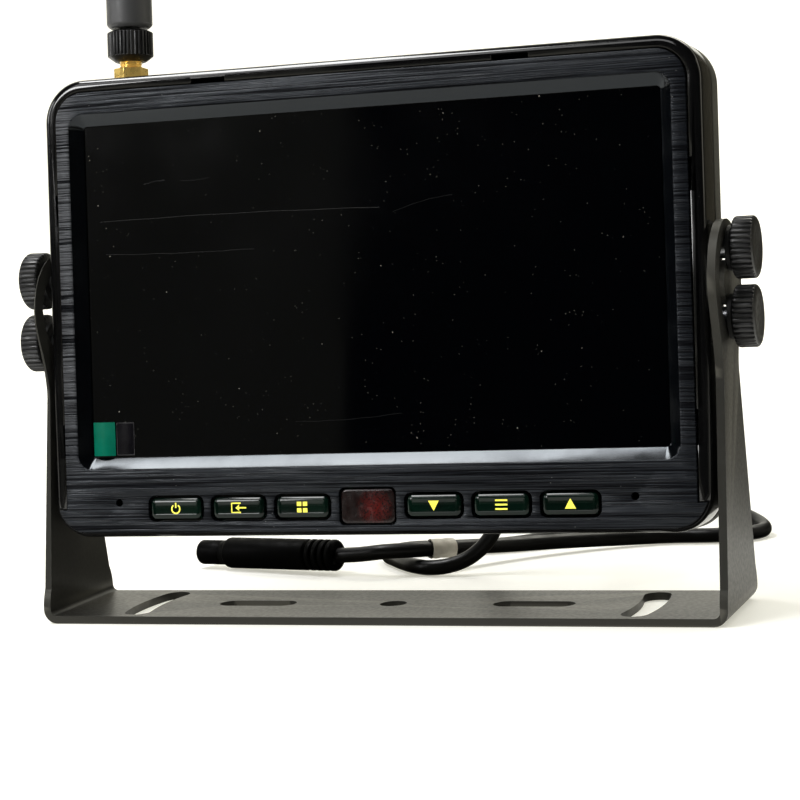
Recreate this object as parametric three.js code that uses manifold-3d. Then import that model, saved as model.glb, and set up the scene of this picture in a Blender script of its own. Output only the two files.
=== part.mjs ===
// A 7-inch wireless rear-view monitor on a U bracket, with its antenna, thumb knobs and power lead.
// Millimetres, +X to the viewer's right, +Y away from the viewer, +Z up.
// The origin is the bottom centre of the box around everything but the free lead.
import * as THREE from "three";
import { mergeVertices } from "three/addons/utils/BufferGeometryUtils.js";
import Module from "manifold-3d";

const wasm = await Module();
wasm.setup();

// ---------- Driving dimensions ----------

const GAP = 0.3; // between pieces that touch
const QUARTER = Math.PI / 2;
const ARC_STEPS = 2; // half the number of facets in each drawn arc, unless one is given

// Where the tilt axis stands, and how far the monitor leans back at rest.
const PIVOT_Y = -7.2;
const PIVOT_Z = 81;
const LEAN = THREE.MathUtils.degToRad(5.5);
const TILT_RANGE = THREE.MathUtils.degToRad(26);

// U bracket, bent from one strip of sheet.
const SHEET = 2;
const BRACKET_HALF_WIDTH = 91.2;
const BEND_RADIUS = 3.6;
const BASE_HALF_DEPTH = 18.5;
const BASE_FORWARD = 1; // the base's centre line is this far in front of the tilt axis
const EAR_RADIUS = 15.5;
const NECK_FRONT = 10.2; // the neck reaches this far in front of the tilt axis
const NECK_REAR = 6.8;
const NECK_DROP = 17.5; // from the tilt axis down to the neck
const NECK_CURVE = 5; // how far the ear's curve runs on down the arm
const ARM_CORNER_HEIGHT = 9;
const ARM_CORNER_INSET = 1.4;
const EAR_SLOT_RADIUS = 8.3;
const EAR_SLOT_WIDTH = 5.6;
const BASE_SLOT_WIDTH = 7;
const STRAIGHT_SLOT_LENGTH = 21.5;
const STRAIGHT_SLOT_X = 37.8;
const CURVED_SLOT_RADIUS = 68;
const CURVED_SLOT_HALF_ANGLE = THREE.MathUtils.degToRad(10.5);

// Monitor housing. Its own frame has the tilt axis at the origin and the screen facing -Y.
const HALF_WIDTH = 88;
const HALF_HEIGHT = 60;
const TOP_CORNER = 11;
const BOTTOM_CORNER = 9.5;
const FASCIA_FRONT = -10.4;
const FASCIA_BACK = -7.2;
const FRAME_FRONT = -9.9;
const FRAME_BACK = 1.6;
const FRAME_WALL = 2.4;
const COVER_FRONT = 2.9;
const COVER_SHOULDER = 9.5;
const COVER_BACK = 15.6;
const COVER_WALL = 2.2;
const COVER_BEVEL = 9;
const FASCIA_HALF_WIDTH = 84.3;
const FASCIA_TOP = 56.5;
const FASCIA_TOP_CORNER = 7.5;
const SKIRT_HALF_WIDTH = 86.9;
const SKIRT_TOP = -52.8;
const FASCIA_BOTTOM = -58.9;
const SKIRT_CORNER = 8.5;

// Screen.
const SCREEN_Z = 4.25;
const SCREEN_HALF_WIDTH = 77.5;
const SCREEN_HALF_HEIGHT = 43.5;
const WINDOW_BEVEL = 3.1;
const WINDOW_BEVEL_DEPTH = 2.7;
const PANEL_HALF_WIDTH = 81.6;
const PANEL_BOTTOM = -44.9;
const PANEL_TOP = 51.5;
const PANEL_DEPTH = 5.7;

// Row of keys under the screen, with the infrared window in its middle.
const KEY_ROW_Z = -52.65;
const KEY_PITCH = 17.6;
const KEY_WIDTH = 14.2;
const KEY_HEIGHT = 5.4;
const KEY_CLEARANCE = 0.7;
const KEY_FRONT = -10.7;
const KEY_FLANGE_BACK = -6.1;
const EYE_WIDTH = 14.6;
const EYE_HEIGHT = 8.9;
const BOARD_FRONT = -1.9;

// Thumb knobs, two on each side, with their screws in the housing's side inserts.
const SCREW_OFFSET = 8.3;
const SCREW_RADIUS = 2.5;
const SCREW_TIP_X = 82.4;
const INSERT_HALF_HEIGHT = 14;
const INSERT_HALF_DEPTH = 6.4;
const INSERT_INNER_X = 83.2;
const INSERT_OUTER_X = 88.4;
const KNOB_RADIUS = 7.6;
const KNOB_START_X = 93;
const KNOB_LENGTH = 5.6;
const KNOB_RIBS = 36;

// Antenna, standing on the cover's top near the left corner.
const ANTENNA_X = -70.5;
const ANTENNA_Y = 7.6;
const ANTENNA_RADIUS = 6.1;
const JACK_RADIUS = 3;
const COLLAR_BOTTOM = 66.1;
const COLLAR_TOP = 74.5;
const FORK_BOTTOM = 75.1;
const FORK_FLOOR = 86;
const ELBOW_Z = 92.5;
const WHIP_START = 99.7;
const WHIP_TIP = 175;

// Power lead and plug.
const LEAD_RADIUS = 2.15;
const LEAD_SIDES = 10;
const LEAD_STEPS = 72;
const LEAD_EXIT_X = 22;
const RELIEF_TIP = 33;
const PLUG_RADIUS = 4.5;
const PLUG_BODY_LENGTH = 39.5;
const PLUG_NOSE_RADIUS = 3.6;
const PLUG_LENGTH = 49.4;
const PLUG_REAR = [-35.2, 45, 5.45];
const PLUG_TIP = [-82.9, 57.7, 4.5];

// The lead's centre line: out of the strain relief, down to the surface behind the monitor, round a
// tight turn to the right, round a second turn back to the left, and over itself to the plug.
const LEAD_ROUTE = [
  [22, 34, 76.9],
  [22, 43, 73.6],
  [21.8, 49.3, 66.5],
  [21.5, 51.8, 56.5],
  [20.3, 51.6, 45],
  [18, 50, 32.5],
  [14.4, 47.6, 20],
  [9.7, 45.6, 9.8],
  [4.4, 44.2, 5],
  [-1.1, 43, 2.9],
  [-6.9, 42.8, 2.2],
  [-12.6, 45.8, 2.2],
  [-17.6, 50.9, 2.2],
  [-22.3, 56.8, 2.2],
  [-26.4, 62.6, 2.2],
  [-27.8, 69.2, 2.2],
  [-24, 74.8, 2.2],
  [-16.2, 76.8, 2.2],
  [-6, 77.6, 2.2],
  [6.5, 82.4, 2.4],
  [18, 90, 3.4],
  [30, 101, 5.6],
  [42, 111, 7.4],
  [54, 118, 7.2],
  [64, 119, 5.2],
  [72, 112.6, 3.2],
  [75, 105, 2.2],
  [71.6, 98.4, 2.2],
  [63.4, 95.2, 2.2],
  [50, 94.2, 2.2],
  [35.8, 88.2, 2.6],
  [21.2, 78.4, 3.5],
  [8, 66.2, 4.6],
  [-2.7, 53.8, 6.1],
  [-11, 44.9, 7],
  [-20, 41.8, 7],
  [-27.6, 42.9, 6.1],
];

// ---------- Geometry helpers ----------

// A closed geometry as a solid that can be joined and cut.
function solid(geometry) {
  const bare = geometry.clone();
  bare.deleteAttribute("normal");
  bare.deleteAttribute("uv");
  const merged = mergeVertices(bare, 1e-4);
  return new wasm.Manifold(
    new wasm.Mesh({
      numProp: 3,
      vertProperties: merged.attributes.position.array,
      triVerts: new Uint32Array(merged.index.array),
    }),
  );
}

function geometryOf(body) {
  const { vertProperties, triVerts } = body.getMesh();
  const geometry = new THREE.BufferGeometry();
  geometry.setAttribute("position", new THREE.BufferAttribute(vertProperties, 3));
  geometry.setIndex(new THREE.BufferAttribute(triVerts, 1));
  return geometry;
}

const join = (first, ...others) =>
  geometryOf(others.reduce((body, other) => body.add(solid(other)), solid(first)));
const cut = (first, ...others) =>
  geometryOf(others.reduce((body, other) => body.subtract(solid(other)), solid(first)));
const overlap = (first, other) => geometryOf(solid(first).intersect(solid(other)));

// A box between two corners.
function block([x0, y0, z0], [x1, y1, z1]) {
  return new THREE.BoxGeometry(x1 - x0, y1 - y0, z1 - z0).translate(
    (x0 + x1) / 2,
    (y0 + y1) / 2,
    (z0 + z1) / 2,
  );
}

// A profile of [radius, height] points turned round the Z axis.
function turned(profile, sides = 20) {
  const points = profile.map(([radius, height]) => new THREE.Vector2(radius, height));
  return new THREE.LatheGeometry(points, sides).rotateX(QUARTER);
}

// A round bar along Z.
const bar = (radius, start, end, sides = 20) =>
  turned([[0, start], [radius, start], [radius, end], [0, end]], sides);

const alongX = (geometry) => geometry.rotateY(QUARTER);
const alongY = (geometry) => geometry.rotateX(-QUARTER);

// A shape drawn in X and Z, given thickness from one Y to another.
function facing(shape, front, back, steps = ARC_STEPS) {
  const options = { depth: back - front, bevelEnabled: false, curveSegments: steps };
  return new THREE.ExtrudeGeometry(shape, options).rotateX(QUARTER).translate(0, back, 0);
}

// A shape drawn in Y and Z, given thickness from one X to another.
function sideways(shape, start, end, steps = ARC_STEPS) {
  const options = { depth: end - start, bevelEnabled: false, curveSegments: steps };
  const turn = new THREE.Matrix4().makeBasis(
    new THREE.Vector3(0, 1, 0),
    new THREE.Vector3(0, 0, 1),
    new THREE.Vector3(1, 0, 0),
  );
  return new THREE.ExtrudeGeometry(shape, options).applyMatrix4(turn).translate(start, 0, 0);
}

// A shape drawn in X and Y, given thickness from one Z to another.
function upright(shape, bottom, top, steps = ARC_STEPS) {
  const options = { depth: top - bottom, bevelEnabled: false, curveSegments: steps };
  return new THREE.ExtrudeGeometry(shape, options).translate(0, 0, bottom);
}

function roundedRect(left, right, bottom, top, lowCorner, highCorner = lowCorner) {
  const shape = new THREE.Shape();
  shape.absarc(right - lowCorner, bottom + lowCorner, lowCorner, -QUARTER, 0);
  shape.absarc(right - highCorner, top - highCorner, highCorner, 0, QUARTER);
  shape.absarc(left + highCorner, top - highCorner, highCorner, QUARTER, 2 * QUARTER);
  shape.absarc(left + lowCorner, bottom + lowCorner, lowCorner, 2 * QUARTER, 3 * QUARTER);
  return shape;
}

// A round-ended slot that follows an arc.
function arcSlot(x, y, radius, width, start, end) {
  const shape = new THREE.Shape();
  const half = width / 2;
  const cap = (angle, from) =>
    shape.absarc(x + radius * Math.cos(angle), y + radius * Math.sin(angle), half, from, from + Math.PI);
  shape.absarc(x, y, radius + half, start, end);
  cap(end, end);
  shape.absarc(x, y, radius - half, end, start, true);
  cap(start, start + Math.PI);
  return shape;
}

// The outline of a ribbed wheel: flat ribs with narrow grooves between them.
function ribbedOutline(radius, ribs, grooveDepth) {
  const shape = new THREE.Shape();
  const pitch = (2 * Math.PI) / ribs;
  const corners = [
    [0, radius],
    [0.55, radius],
    [0.68, radius - grooveDepth],
    [0.87, radius - grooveDepth],
  ];
  for (let rib = 0; rib < ribs; rib += 1) {
    for (const [share, reach] of corners) {
      const angle = (rib + share) * pitch;
      const point = [reach * Math.cos(angle), reach * Math.sin(angle)];
      if (shape.curves.length || rib || share) shape.lineTo(...point);
      else shape.moveTo(...point);
    }
  }
  return shape;
}

// ---------- Materials and scene graph ----------

// Colour, roughness and metalness of each finish.
const FINISHES = {
  powderCoat: [0x2b2c2c, 0.62, 0.15],
  glossBlack: [0x0b0c0e, 0.16, 0],
  brushedBlack: [0x1c1e22, 0.42, 0],
  satinBlack: [0x1d1e1f, 0.55, 0],
  screenBlack: [0x060708, 0.12, 0],
  clearFilm: [0x202225, 0.08, 0],
  pullGreen: [0x0f6b4f, 0.35, 0],
  keyGreen: [0x0a1a16, 0.25, 0],
  eyeRed: [0x35080b, 0.2, 0],
  ribbedGrey: [0x333434, 0.6, 0],
  antennaGrey: [0x2e2f31, 0.6, 0],
  gold: [0xc79a3a, 0.28, 1],
  zinc: [0xb4b6b8, 0.35, 1],
  steel: [0x8d9093, 0.35, 1],
  boardGreen: [0x1f5a34, 0.5, 0],
  switchGrey: [0x4a4c50, 0.5, 0.2],
  coneBlack: [0x18191a, 0.8, 0],
  rubber: [0x151617, 0.75, 0],
  leadBlack: [0x17181a, 0.5, 0],
  labelWhite: [0xc9c7bd, 0.6, 0],
  plugCore: [0x101112, 0.4, 0],
};

function add(group, name, geometry, finish) {
  const [color, roughness, metalness] = FINISHES[finish];
  const mesh = new THREE.Mesh(
    geometry,
    new THREE.MeshStandardMaterial({ color, roughness, metalness }),
  );
  mesh.name = name;
  group.add(mesh);
}

const kit = new THREE.Group();
const standing = new THREE.Group(); // origin on the tilt axis' foot, at table height
standing.position.y = PIVOT_Y;
kit.add(standing);
const monitor = new THREE.Group(); // origin on the tilt axis, leaning back with the screen
monitor.position.z = PIVOT_Z;
monitor.rotation.x = -LEAN;
standing.add(monitor);

// ---------- U bracket ----------

function bracketStrip() {
  const inner = BEND_RADIUS - SHEET;
  const far = BRACKET_HALF_WIDTH;
  const near = far - SHEET;
  const top = PIVOT_Z + EAR_RADIUS + 1;
  const shape = new THREE.Shape();
  shape.moveTo(-far, top);
  shape.absarc(-far + BEND_RADIUS, BEND_RADIUS, BEND_RADIUS, 2 * QUARTER, 3 * QUARTER);
  shape.absarc(far - BEND_RADIUS, BEND_RADIUS, BEND_RADIUS, -QUARTER, 0);
  shape.lineTo(far, top);
  shape.lineTo(near, top);
  shape.absarc(near - inner, BEND_RADIUS, inner, 0, -QUARTER, true);
  shape.absarc(-near + inner, BEND_RADIUS, inner, -QUARTER, -2 * QUARTER, true);
  shape.lineTo(-near, top);
  return facing(shape, -BASE_HALF_DEPTH - BASE_FORWARD, BASE_HALF_DEPTH - BASE_FORWARD, 3);
}

// The strip's edge as seen from the side: full depth at the base, a narrow neck and a round ear.
function bracketSide() {
  const front = -BASE_HALF_DEPTH - BASE_FORWARD;
  const back = BASE_HALF_DEPTH - BASE_FORWARD;
  // One edge of the arm: where its curve into the ear starts, bends and meets the ear.
  const armEdge = (side, reach, corner) => {
    const leave =
      Math.atan2(NECK_DROP, reach) - Math.acos(EAR_RADIUS / Math.hypot(reach, NECK_DROP));
    const bend = new THREE.Vector2(side * reach, PIVOT_Z - NECK_DROP);
    const foot = new THREE.Vector2(corner, ARM_CORNER_HEIGHT);
    const start = foot.sub(bend).setLength(NECK_CURVE).add(bend);
    const meet = [side * EAR_RADIUS * Math.cos(leave), PIVOT_Z - EAR_RADIUS * Math.sin(leave)];
    return { leave, bend, start, meet };
  };
  const rear = armEdge(1, NECK_REAR, back - ARM_CORNER_INSET);
  const fore = armEdge(-1, NECK_FRONT, front + ARM_CORNER_INSET);
  const shape = new THREE.Shape();
  shape.moveTo(front, -1);
  shape.lineTo(back, -1);
  shape.lineTo(back, BEND_RADIUS);
  shape.quadraticCurveTo(back, ARM_CORNER_HEIGHT / 2 + 2, back - ARM_CORNER_INSET, ARM_CORNER_HEIGHT);
  shape.lineTo(rear.start.x, rear.start.y);
  shape.quadraticCurveTo(rear.bend.x, rear.bend.y, ...rear.meet);
  shape.absarc(0, PIVOT_Z, EAR_RADIUS, -rear.leave, Math.PI + fore.leave);
  shape.quadraticCurveTo(fore.bend.x, fore.bend.y, fore.start.x, fore.start.y);
  shape.lineTo(front + ARM_CORNER_INSET, ARM_CORNER_HEIGHT);
  shape.quadraticCurveTo(front, ARM_CORNER_HEIGHT / 2 + 2, front, BEND_RADIUS);
  return sideways(shape, -BRACKET_HALF_WIDTH - 2, BRACKET_HALF_WIDTH + 2, 10);
}

// One C-shaped slot takes both of an ear's screws, so the monitor tilts about the ear's centre.
function earSlot() {
  const upperScrew = QUARTER - LEAN;
  const shape = arcSlot(
    0,
    PIVOT_Z,
    EAR_SLOT_RADIUS,
    EAR_SLOT_WIDTH,
    upperScrew - TILT_RANGE,
    upperScrew + Math.PI + TILT_RANGE,
  );
  return sideways(shape, -BRACKET_HALF_WIDTH - 1, BRACKET_HALF_WIDTH + 1, 7);
}

function baseSlots() {
  const y = -BASE_FORWARD;
  const half = BASE_SLOT_WIDTH / 2;
  const straight = (x) =>
    roundedRect(x - STRAIGHT_SLOT_LENGTH / 2, x + STRAIGHT_SLOT_LENGTH / 2, y - half, y + half, half);
  const curved = (middle) =>
    arcSlot(
      0,
      y,
      CURVED_SLOT_RADIUS,
      BASE_SLOT_WIDTH,
      middle - CURVED_SLOT_HALF_ANGLE,
      middle + CURVED_SLOT_HALF_ANGLE,
    );
  const shapes = [
    straight(-STRAIGHT_SLOT_X),
    straight(STRAIGHT_SLOT_X),
    roundedRect(-half, half, y - half, y + half, half),
    curved(0),
    curved(Math.PI),
  ];
  return shapes.map((shape) => upright(shape, -1, SHEET + 1, 4));
}

const bareBracket = overlap(bracketStrip(), bracketSide());
add(standing, "bracket", cut(bareBracket, earSlot(), ...baseSlots()), "powderCoat");

// ---------- Housing ----------

const housingOutline = (inset) =>
  roundedRect(
    -HALF_WIDTH + inset,
    HALF_WIDTH - inset,
    -HALF_HEIGHT + inset,
    HALF_HEIGHT - inset,
    BOTTOM_CORNER - inset,
    TOP_CORNER - inset,
  );

// The fascia's outline: a plate with a slightly wider skirt below the screen.
function fasciaOutline(grow) {
  const wide = SKIRT_HALF_WIDTH + grow;
  const narrow = FASCIA_HALF_WIDTH + grow;
  const low = FASCIA_BOTTOM - grow;
  const step = SKIRT_TOP + grow;
  const top = FASCIA_TOP + grow;
  const lowCorner = SKIRT_CORNER + grow;
  const highCorner = FASCIA_TOP_CORNER + grow;
  const shoulder = Math.asin((low + lowCorner - step) / lowCorner);
  const shape = new THREE.Shape();
  shape.absarc(wide - lowCorner, low + lowCorner, lowCorner, -QUARTER, -shoulder);
  shape.lineTo(narrow, step);
  shape.absarc(narrow - highCorner, top - highCorner, highCorner, 0, QUARTER);
  shape.absarc(-narrow + highCorner, top - highCorner, highCorner, QUARTER, 2 * QUARTER);
  shape.lineTo(-narrow, step);
  shape.absarc(-wide + lowCorner, low + lowCorner, lowCorner, 2 * QUARTER + shoulder, 3 * QUARTER);
  return shape;
}

// Four posts near the housing's corners take the cover's screws.
const SCREW_POSTS = [[-78, -54.8], [78, -54.8], [-78, 54.8], [78, 54.8]];
const POST_RADIUS = 2.9;
const COVER_SCREW_HOLE = 1.6;
const postBar = (radius, front, back, [x, z], sides = 12) =>
  alongY(bar(radius, front, back, sides)).translate(x, 0, z);

// Room on both sides for the threaded inserts that the thumb screws go into.
const insertPockets = (front, back) =>
  [-1, 1].map((side) =>
    block(
      [Math.min(side * 82, side * 89), front, -INSERT_HALF_HEIGHT - GAP],
      [Math.max(side * 82, side * 89), back, INSERT_HALF_HEIGHT + GAP],
    ),
  );

// Short notches in the frame's inner edge, where the fascia's clips can be levered out.
function clipNotches() {
  const deep = 1.3;
  const edge = FASCIA_HALF_WIDTH + GAP;
  const roof = FASCIA_TOP + GAP;
  const notches = [];
  for (const side of [-1, 1]) {
    const near = side * (edge - 1);
    const far = side * (edge + deep);
    for (const [low, high] of [[22, 30], [-39, -30.4]]) {
      notches.push(block([Math.min(near, far), -11, low], [Math.max(near, far), -7.6, high]));
    }
    notches.push(block([side * 40.5 - 4.7, -11, roof - 1], [side * 40.5 + 4.7, -7.6, roof + deep]));
  }
  return notches;
}

function frontFrame() {
  const walls = cut(
    facing(housingOutline(0), FRAME_FRONT, FRAME_BACK),
    facing(fasciaOutline(GAP), FRAME_FRONT - 1, FASCIA_BACK + GAP),
    facing(housingOutline(FRAME_WALL), FASCIA_BACK, FRAME_BACK + 1),
  );
  const posts = SCREW_POSTS.map((place) => postBar(POST_RADIUS, -5, FRAME_BACK - 0.2, place));
  const holes = SCREW_POSTS.map((place) => postBar(COVER_SCREW_HOLE, -4.4, FRAME_BACK + 1, place));
  return cut(
    join(walls, ...posts),
    ...holes,
    ...clipNotches(),
    ...insertPockets(-INSERT_HALF_DEPTH - GAP, FRAME_BACK + 1),
  );
}
add(monitor, "front_frame", frontFrame(), "glossBlack");

const keyPlaces = [-3, -2, -1, 1, 2, 3].map((step) => step * KEY_PITCH);
const centredRect = (x, z, width, height, corner) =>
  roundedRect(x - width / 2, x + width / 2, z - height / 2, z + height / 2, corner);

function fascia() {
  const opening = roundedRect(
    -SCREEN_HALF_WIDTH,
    SCREEN_HALF_WIDTH,
    SCREEN_Z - SCREEN_HALF_HEIGHT,
    SCREEN_Z + SCREEN_HALF_HEIGHT,
    1,
  );
  const bevel = new THREE.ExtrudeGeometry(opening, {
    depth: 1,
    bevelThickness: WINDOW_BEVEL_DEPTH,
    bevelSize: WINDOW_BEVEL,
    bevelSegments: 1,
    curveSegments: ARC_STEPS,
  })
    .rotateX(QUARTER)
    .translate(0, FASCIA_FRONT, 0);
  const through = (shape) => facing(shape, FASCIA_FRONT - 1, FASCIA_BACK + 1);
  const keyHoles = keyPlaces.map((x) =>
    through(
      centredRect(x, KEY_ROW_Z, KEY_WIDTH + 2 * KEY_CLEARANCE, KEY_HEIGHT + 2 * KEY_CLEARANCE, 2),
    ),
  );
  const eyeHole = through(centredRect(0, KEY_ROW_Z, EYE_WIDTH + 2 * GAP, EYE_HEIGHT + 2 * GAP, 1.4));
  const pinHoles = [-69, 69].map((x) => through(centredRect(x, -51, 1.9, 1.9, 0.94)));
  return cut(
    facing(fasciaOutline(0), FASCIA_FRONT, FASCIA_BACK),
    bevel,
    through(opening),
    ...keyHoles,
    eyeHole,
    ...pinHoles,
  );
}
add(monitor, "fascia", fascia(), "brushedBlack");

// A block of the housing's outline whose back edge is bevelled inwards.
function coverBlock(inset, shoulder, back) {
  const geometry = new THREE.ExtrudeGeometry(housingOutline(inset), {
    depth: shoulder + 4,
    bevelThickness: back - shoulder,
    bevelSize: COVER_BEVEL - inset,
    bevelOffset: inset - COVER_BEVEL,
    bevelSegments: 1,
    curveSegments: ARC_STEPS,
  });
  return geometry.rotateX(QUARTER).translate(0, shoulder, 0);
}

const VENT_ROWS = 4;
const VENT_PITCH = 6;
const VENT_HEIGHT = 2.2;
const SPEAKER_X = 52;
const SPEAKER_Z = -26;

function coverVents() {
  const slots = [];
  for (let row = 0; row < VENT_ROWS; row += 1) {
    const z = 14 + row * VENT_PITCH;
    for (const [left, right] of [[-56, -26], [-18, 18], [26, 56]]) {
      slots.push(block([left, COVER_SHOULDER, z], [right, COVER_BACK + 1, z + VENT_HEIGHT]));
    }
  }
  for (let row = -2; row <= 2; row += 1) {
    const half = 9 - Math.abs(row) * 1.8;
    const z = SPEAKER_Z + row * 3.4;
    slots.push(
      block([SPEAKER_X - half, COVER_SHOULDER + 2, z - 0.7], [SPEAKER_X + half, COVER_BACK + 1, z + 0.7]),
    );
  }
  return slots;
}

function rearCover() {
  const shell = cut(
    overlap(
      coverBlock(0, COVER_SHOULDER, COVER_BACK),
      block([-100, COVER_FRONT, -100], [100, COVER_BACK + 1, 100]),
    ),
    coverBlock(COVER_WALL, COVER_SHOULDER - 0.6, COVER_BACK - COVER_WALL),
  );
  const rim = cut(
    facing(housingOutline(0), COVER_FRONT, COVER_FRONT + 1.6),
    facing(housingOutline(FRAME_WALL + GAP + 1.9), COVER_FRONT - 1, COVER_FRONT + 3),
  );
  const tongue = cut(
    facing(housingOutline(FRAME_WALL + GAP), -0.3, COVER_FRONT + 0.5),
    facing(housingOutline(FRAME_WALL + GAP + 1.9), -2, COVER_FRONT + 1),
    ...SCREW_POSTS.map((place) => postBar(POST_RADIUS + GAP + 0.2, -3, FRAME_BACK + GAP, place)),
  );
  const pedestal = block([ANTENNA_X - 7, COVER_FRONT, 50], [ANTENNA_X + 7, 13.6, HALF_HEIGHT]);
  const bosses = SCREW_POSTS.map((place) => postBar(4.2, COVER_FRONT, 10, place));
  const heads = SCREW_POSTS.map((place) => postBar(3.2, 5.2, 20, place));
  const shanks = SCREW_POSTS.map((place) => postBar(COVER_SCREW_HOLE, 1, 8, place));
  return cut(
    join(shell, rim, tongue, pedestal, ...bosses),
    ...heads,
    ...shanks,
    ...coverVents(),
    ...insertPockets(-2, INSERT_HALF_DEPTH + GAP),
    bar(JACK_RADIUS + GAP, 49, 61, 20).translate(ANTENNA_X, ANTENNA_Y, 0),
    alongY(bar(3.8, 10, 17, 20)).translate(LEAD_EXIT_X, 0, 0),
  );
}
add(monitor, "rear_cover", rearCover(), "satinBlack");

SCREW_POSTS.forEach((place, index) => {
  const profile = [[0, -3.8], [1.25, -3.8], [1.25, 5.5], [2.7, 5.5], [2.7, 6.6], [2.1, 7.3], [0, 7.3]];
  add(
    monitor,
    `cover_screw_${index + 1}`,
    alongY(turned(profile, 14)).translate(place[0], 0, place[1]),
    "steel",
  );
});

// ---------- Screen ----------

const PANEL_FRONT = FASCIA_BACK + GAP;
add(
  monitor,
  "lcd_panel",
  block(
    [-PANEL_HALF_WIDTH, PANEL_FRONT, PANEL_BOTTOM],
    [PANEL_HALF_WIDTH, PANEL_FRONT + PANEL_DEPTH, PANEL_TOP],
  ),
  "screenBlack",
);

const FILM_FRONT = FASCIA_BACK - 0.25;
const filmWidth = SCREEN_HALF_WIDTH - GAP;
const filmHeight = SCREEN_HALF_HEIGHT - GAP;
add(
  monitor,
  "screen_film",
  block([-filmWidth, FILM_FRONT, SCREEN_Z - filmHeight], [filmWidth, FASCIA_BACK, SCREEN_Z + filmHeight]),
  "clearFilm",
);

const TAB_WIDTH = 6.2;
const TAB_HEIGHT = 8.8;
add(
  monitor,
  "pull_tab",
  block(
    [-filmWidth + 0.2, FILM_FRONT - GAP - 0.25, SCREEN_Z - filmHeight + 0.2],
    [-filmWidth + 0.2 + TAB_WIDTH, FILM_FRONT - GAP, SCREEN_Z - filmHeight + 0.2 + TAB_HEIGHT],
  ),
  "pullGreen",
);

// ---------- Keys, infrared eye and their board ----------

// A cap that passes through the fascia, with a flange behind it that keeps it in.
const capWithFlange = (x, width, height, corner, flange, front) =>
  join(
    facing(centredRect(x, KEY_ROW_Z, width, height, corner), front, KEY_FLANGE_BACK),
    facing(
      centredRect(x, KEY_ROW_Z, width + flange[0], height + flange[1], corner),
      FASCIA_BACK + GAP,
      KEY_FLANGE_BACK,
    ),
  );

const KEY_NAMES = ["power", "source", "channel", "down", "menu", "up"];
KEY_NAMES.forEach((name, index) => {
  const x = keyPlaces[index];
  const cap = capWithFlange(x, KEY_WIDTH, KEY_HEIGHT, 1.4, [2.6, 2.6], KEY_FRONT);
  add(monitor, `key_${name}`, cap, "keyGreen");
  const base = block(
    [x - 3, BOARD_FRONT - GAP - 2.8, KEY_ROW_Z - 3],
    [x + 3, BOARD_FRONT - GAP, KEY_ROW_Z + 3],
  );
  const plunger = alongY(bar(1.7, -5.3, BOARD_FRONT - GAP - 1, 12)).translate(x, 0, KEY_ROW_Z);
  add(monitor, `switch_${name}`, join(base, plunger), "switchGrey");
});

add(
  monitor,
  "infrared_window",
  capWithFlange(0, EYE_WIDTH, EYE_HEIGHT, 1.2, [3, 0], FASCIA_FRONT + 0.2),
  "eyeRed",
);
add(
  monitor,
  "infrared_receiver",
  block([-3, -5.6, KEY_ROW_Z - 3.4], [3, BOARD_FRONT - GAP, KEY_ROW_Z + 3.4]),
  "plugCore",
);
add(monitor, "key_board", block([-66, BOARD_FRONT, -57.2], [66, BOARD_FRONT + 1.2, -47.2]), "boardGreen");

// ---------- Electronics behind the screen ----------

const MAIN_BOARD_BACK = 3.6;
add(monitor, "main_board", block([-62, MAIN_BOARD_BACK - 1.6, -34], [30, MAIN_BOARD_BACK, 38]), "boardGreen");
const CAN_FRONT = MAIN_BOARD_BACK + GAP;
add(monitor, "radio_can", block([-58, CAN_FRONT, 12], [-34, CAN_FRONT + 3, 30]), "zinc");
add(
  monitor,
  "speaker",
  alongY(turned([[0, 3.5], [9, 3.5], [9, 6], [12.5, 6], [12.5, 11], [0, 11]], 16)).translate(
    SPEAKER_X,
    0,
    SPEAKER_Z,
  ),
  "coneBlack",
);

// ---------- Threaded inserts, washers, thumb screws and knobs ----------

const knobOutline = ribbedOutline(KNOB_RADIUS, KNOB_RIBS, 0.4);
for (const side of [-1, 1]) {
  const hand = side < 0 ? "left" : "right";
  // Everything on this side is made for the right and turned round the Z axis for the left.
  const place = (geometry) => (side < 0 ? geometry.rotateZ(Math.PI) : geometry);
  const holes = [-1, 1].map((level) =>
    alongX(bar(SCREW_RADIUS + 0.25, 80, 90, 16)).translate(0, 0, level * SCREW_OFFSET),
  );
  const insert = block(
    [INSERT_INNER_X, -INSERT_HALF_DEPTH, -INSERT_HALF_HEIGHT],
    [INSERT_OUTER_X, INSERT_HALF_DEPTH, INSERT_HALF_HEIGHT],
  );
  add(monitor, `side_insert_${hand}`, place(cut(insert, ...holes)), "satinBlack");

  for (const level of [1, -1]) {
    const row = level > 0 ? "upper" : "lower";
    const z = level * SCREW_OFFSET;
    const washer = (start, end, outer) =>
      alongX(
        turned([[SCREW_RADIUS + GAP, start], [outer, start], [outer, end], [SCREW_RADIUS + GAP, end],
          [SCREW_RADIUS + GAP, start]], 20),
      ).translate(0, 0, z);
    const outside = BRACKET_HALF_WIDTH + GAP;
    add(monitor, `washer_${hand}_${row}`, place(washer(outside, KNOB_START_X - GAP, 5.6)), "rubber");
    const screw = alongX(bar(SCREW_RADIUS, SCREW_TIP_X, KNOB_START_X + 3, 16)).translate(0, 0, z);
    add(monitor, `screw_${hand}_${row}`, place(screw), "steel");
    const wheel = alongX(
      upright(knobOutline, KNOB_START_X, KNOB_START_X + KNOB_LENGTH),
    ).translate(0, 0, z);
    const socket = alongX(
      bar(SCREW_RADIUS + GAP, KNOB_START_X - 1, KNOB_START_X + 3 + GAP, 16),
    ).translate(0, 0, z);
    add(monitor, `knob_${hand}_${row}`, place(cut(wheel, socket)), "ribbedGrey");
  }
}

// ---------- Antenna ----------

const antenna = new THREE.Group();
antenna.position.set(ANTENNA_X, ANTENNA_Y, 0);
monitor.add(antenna);

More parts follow.
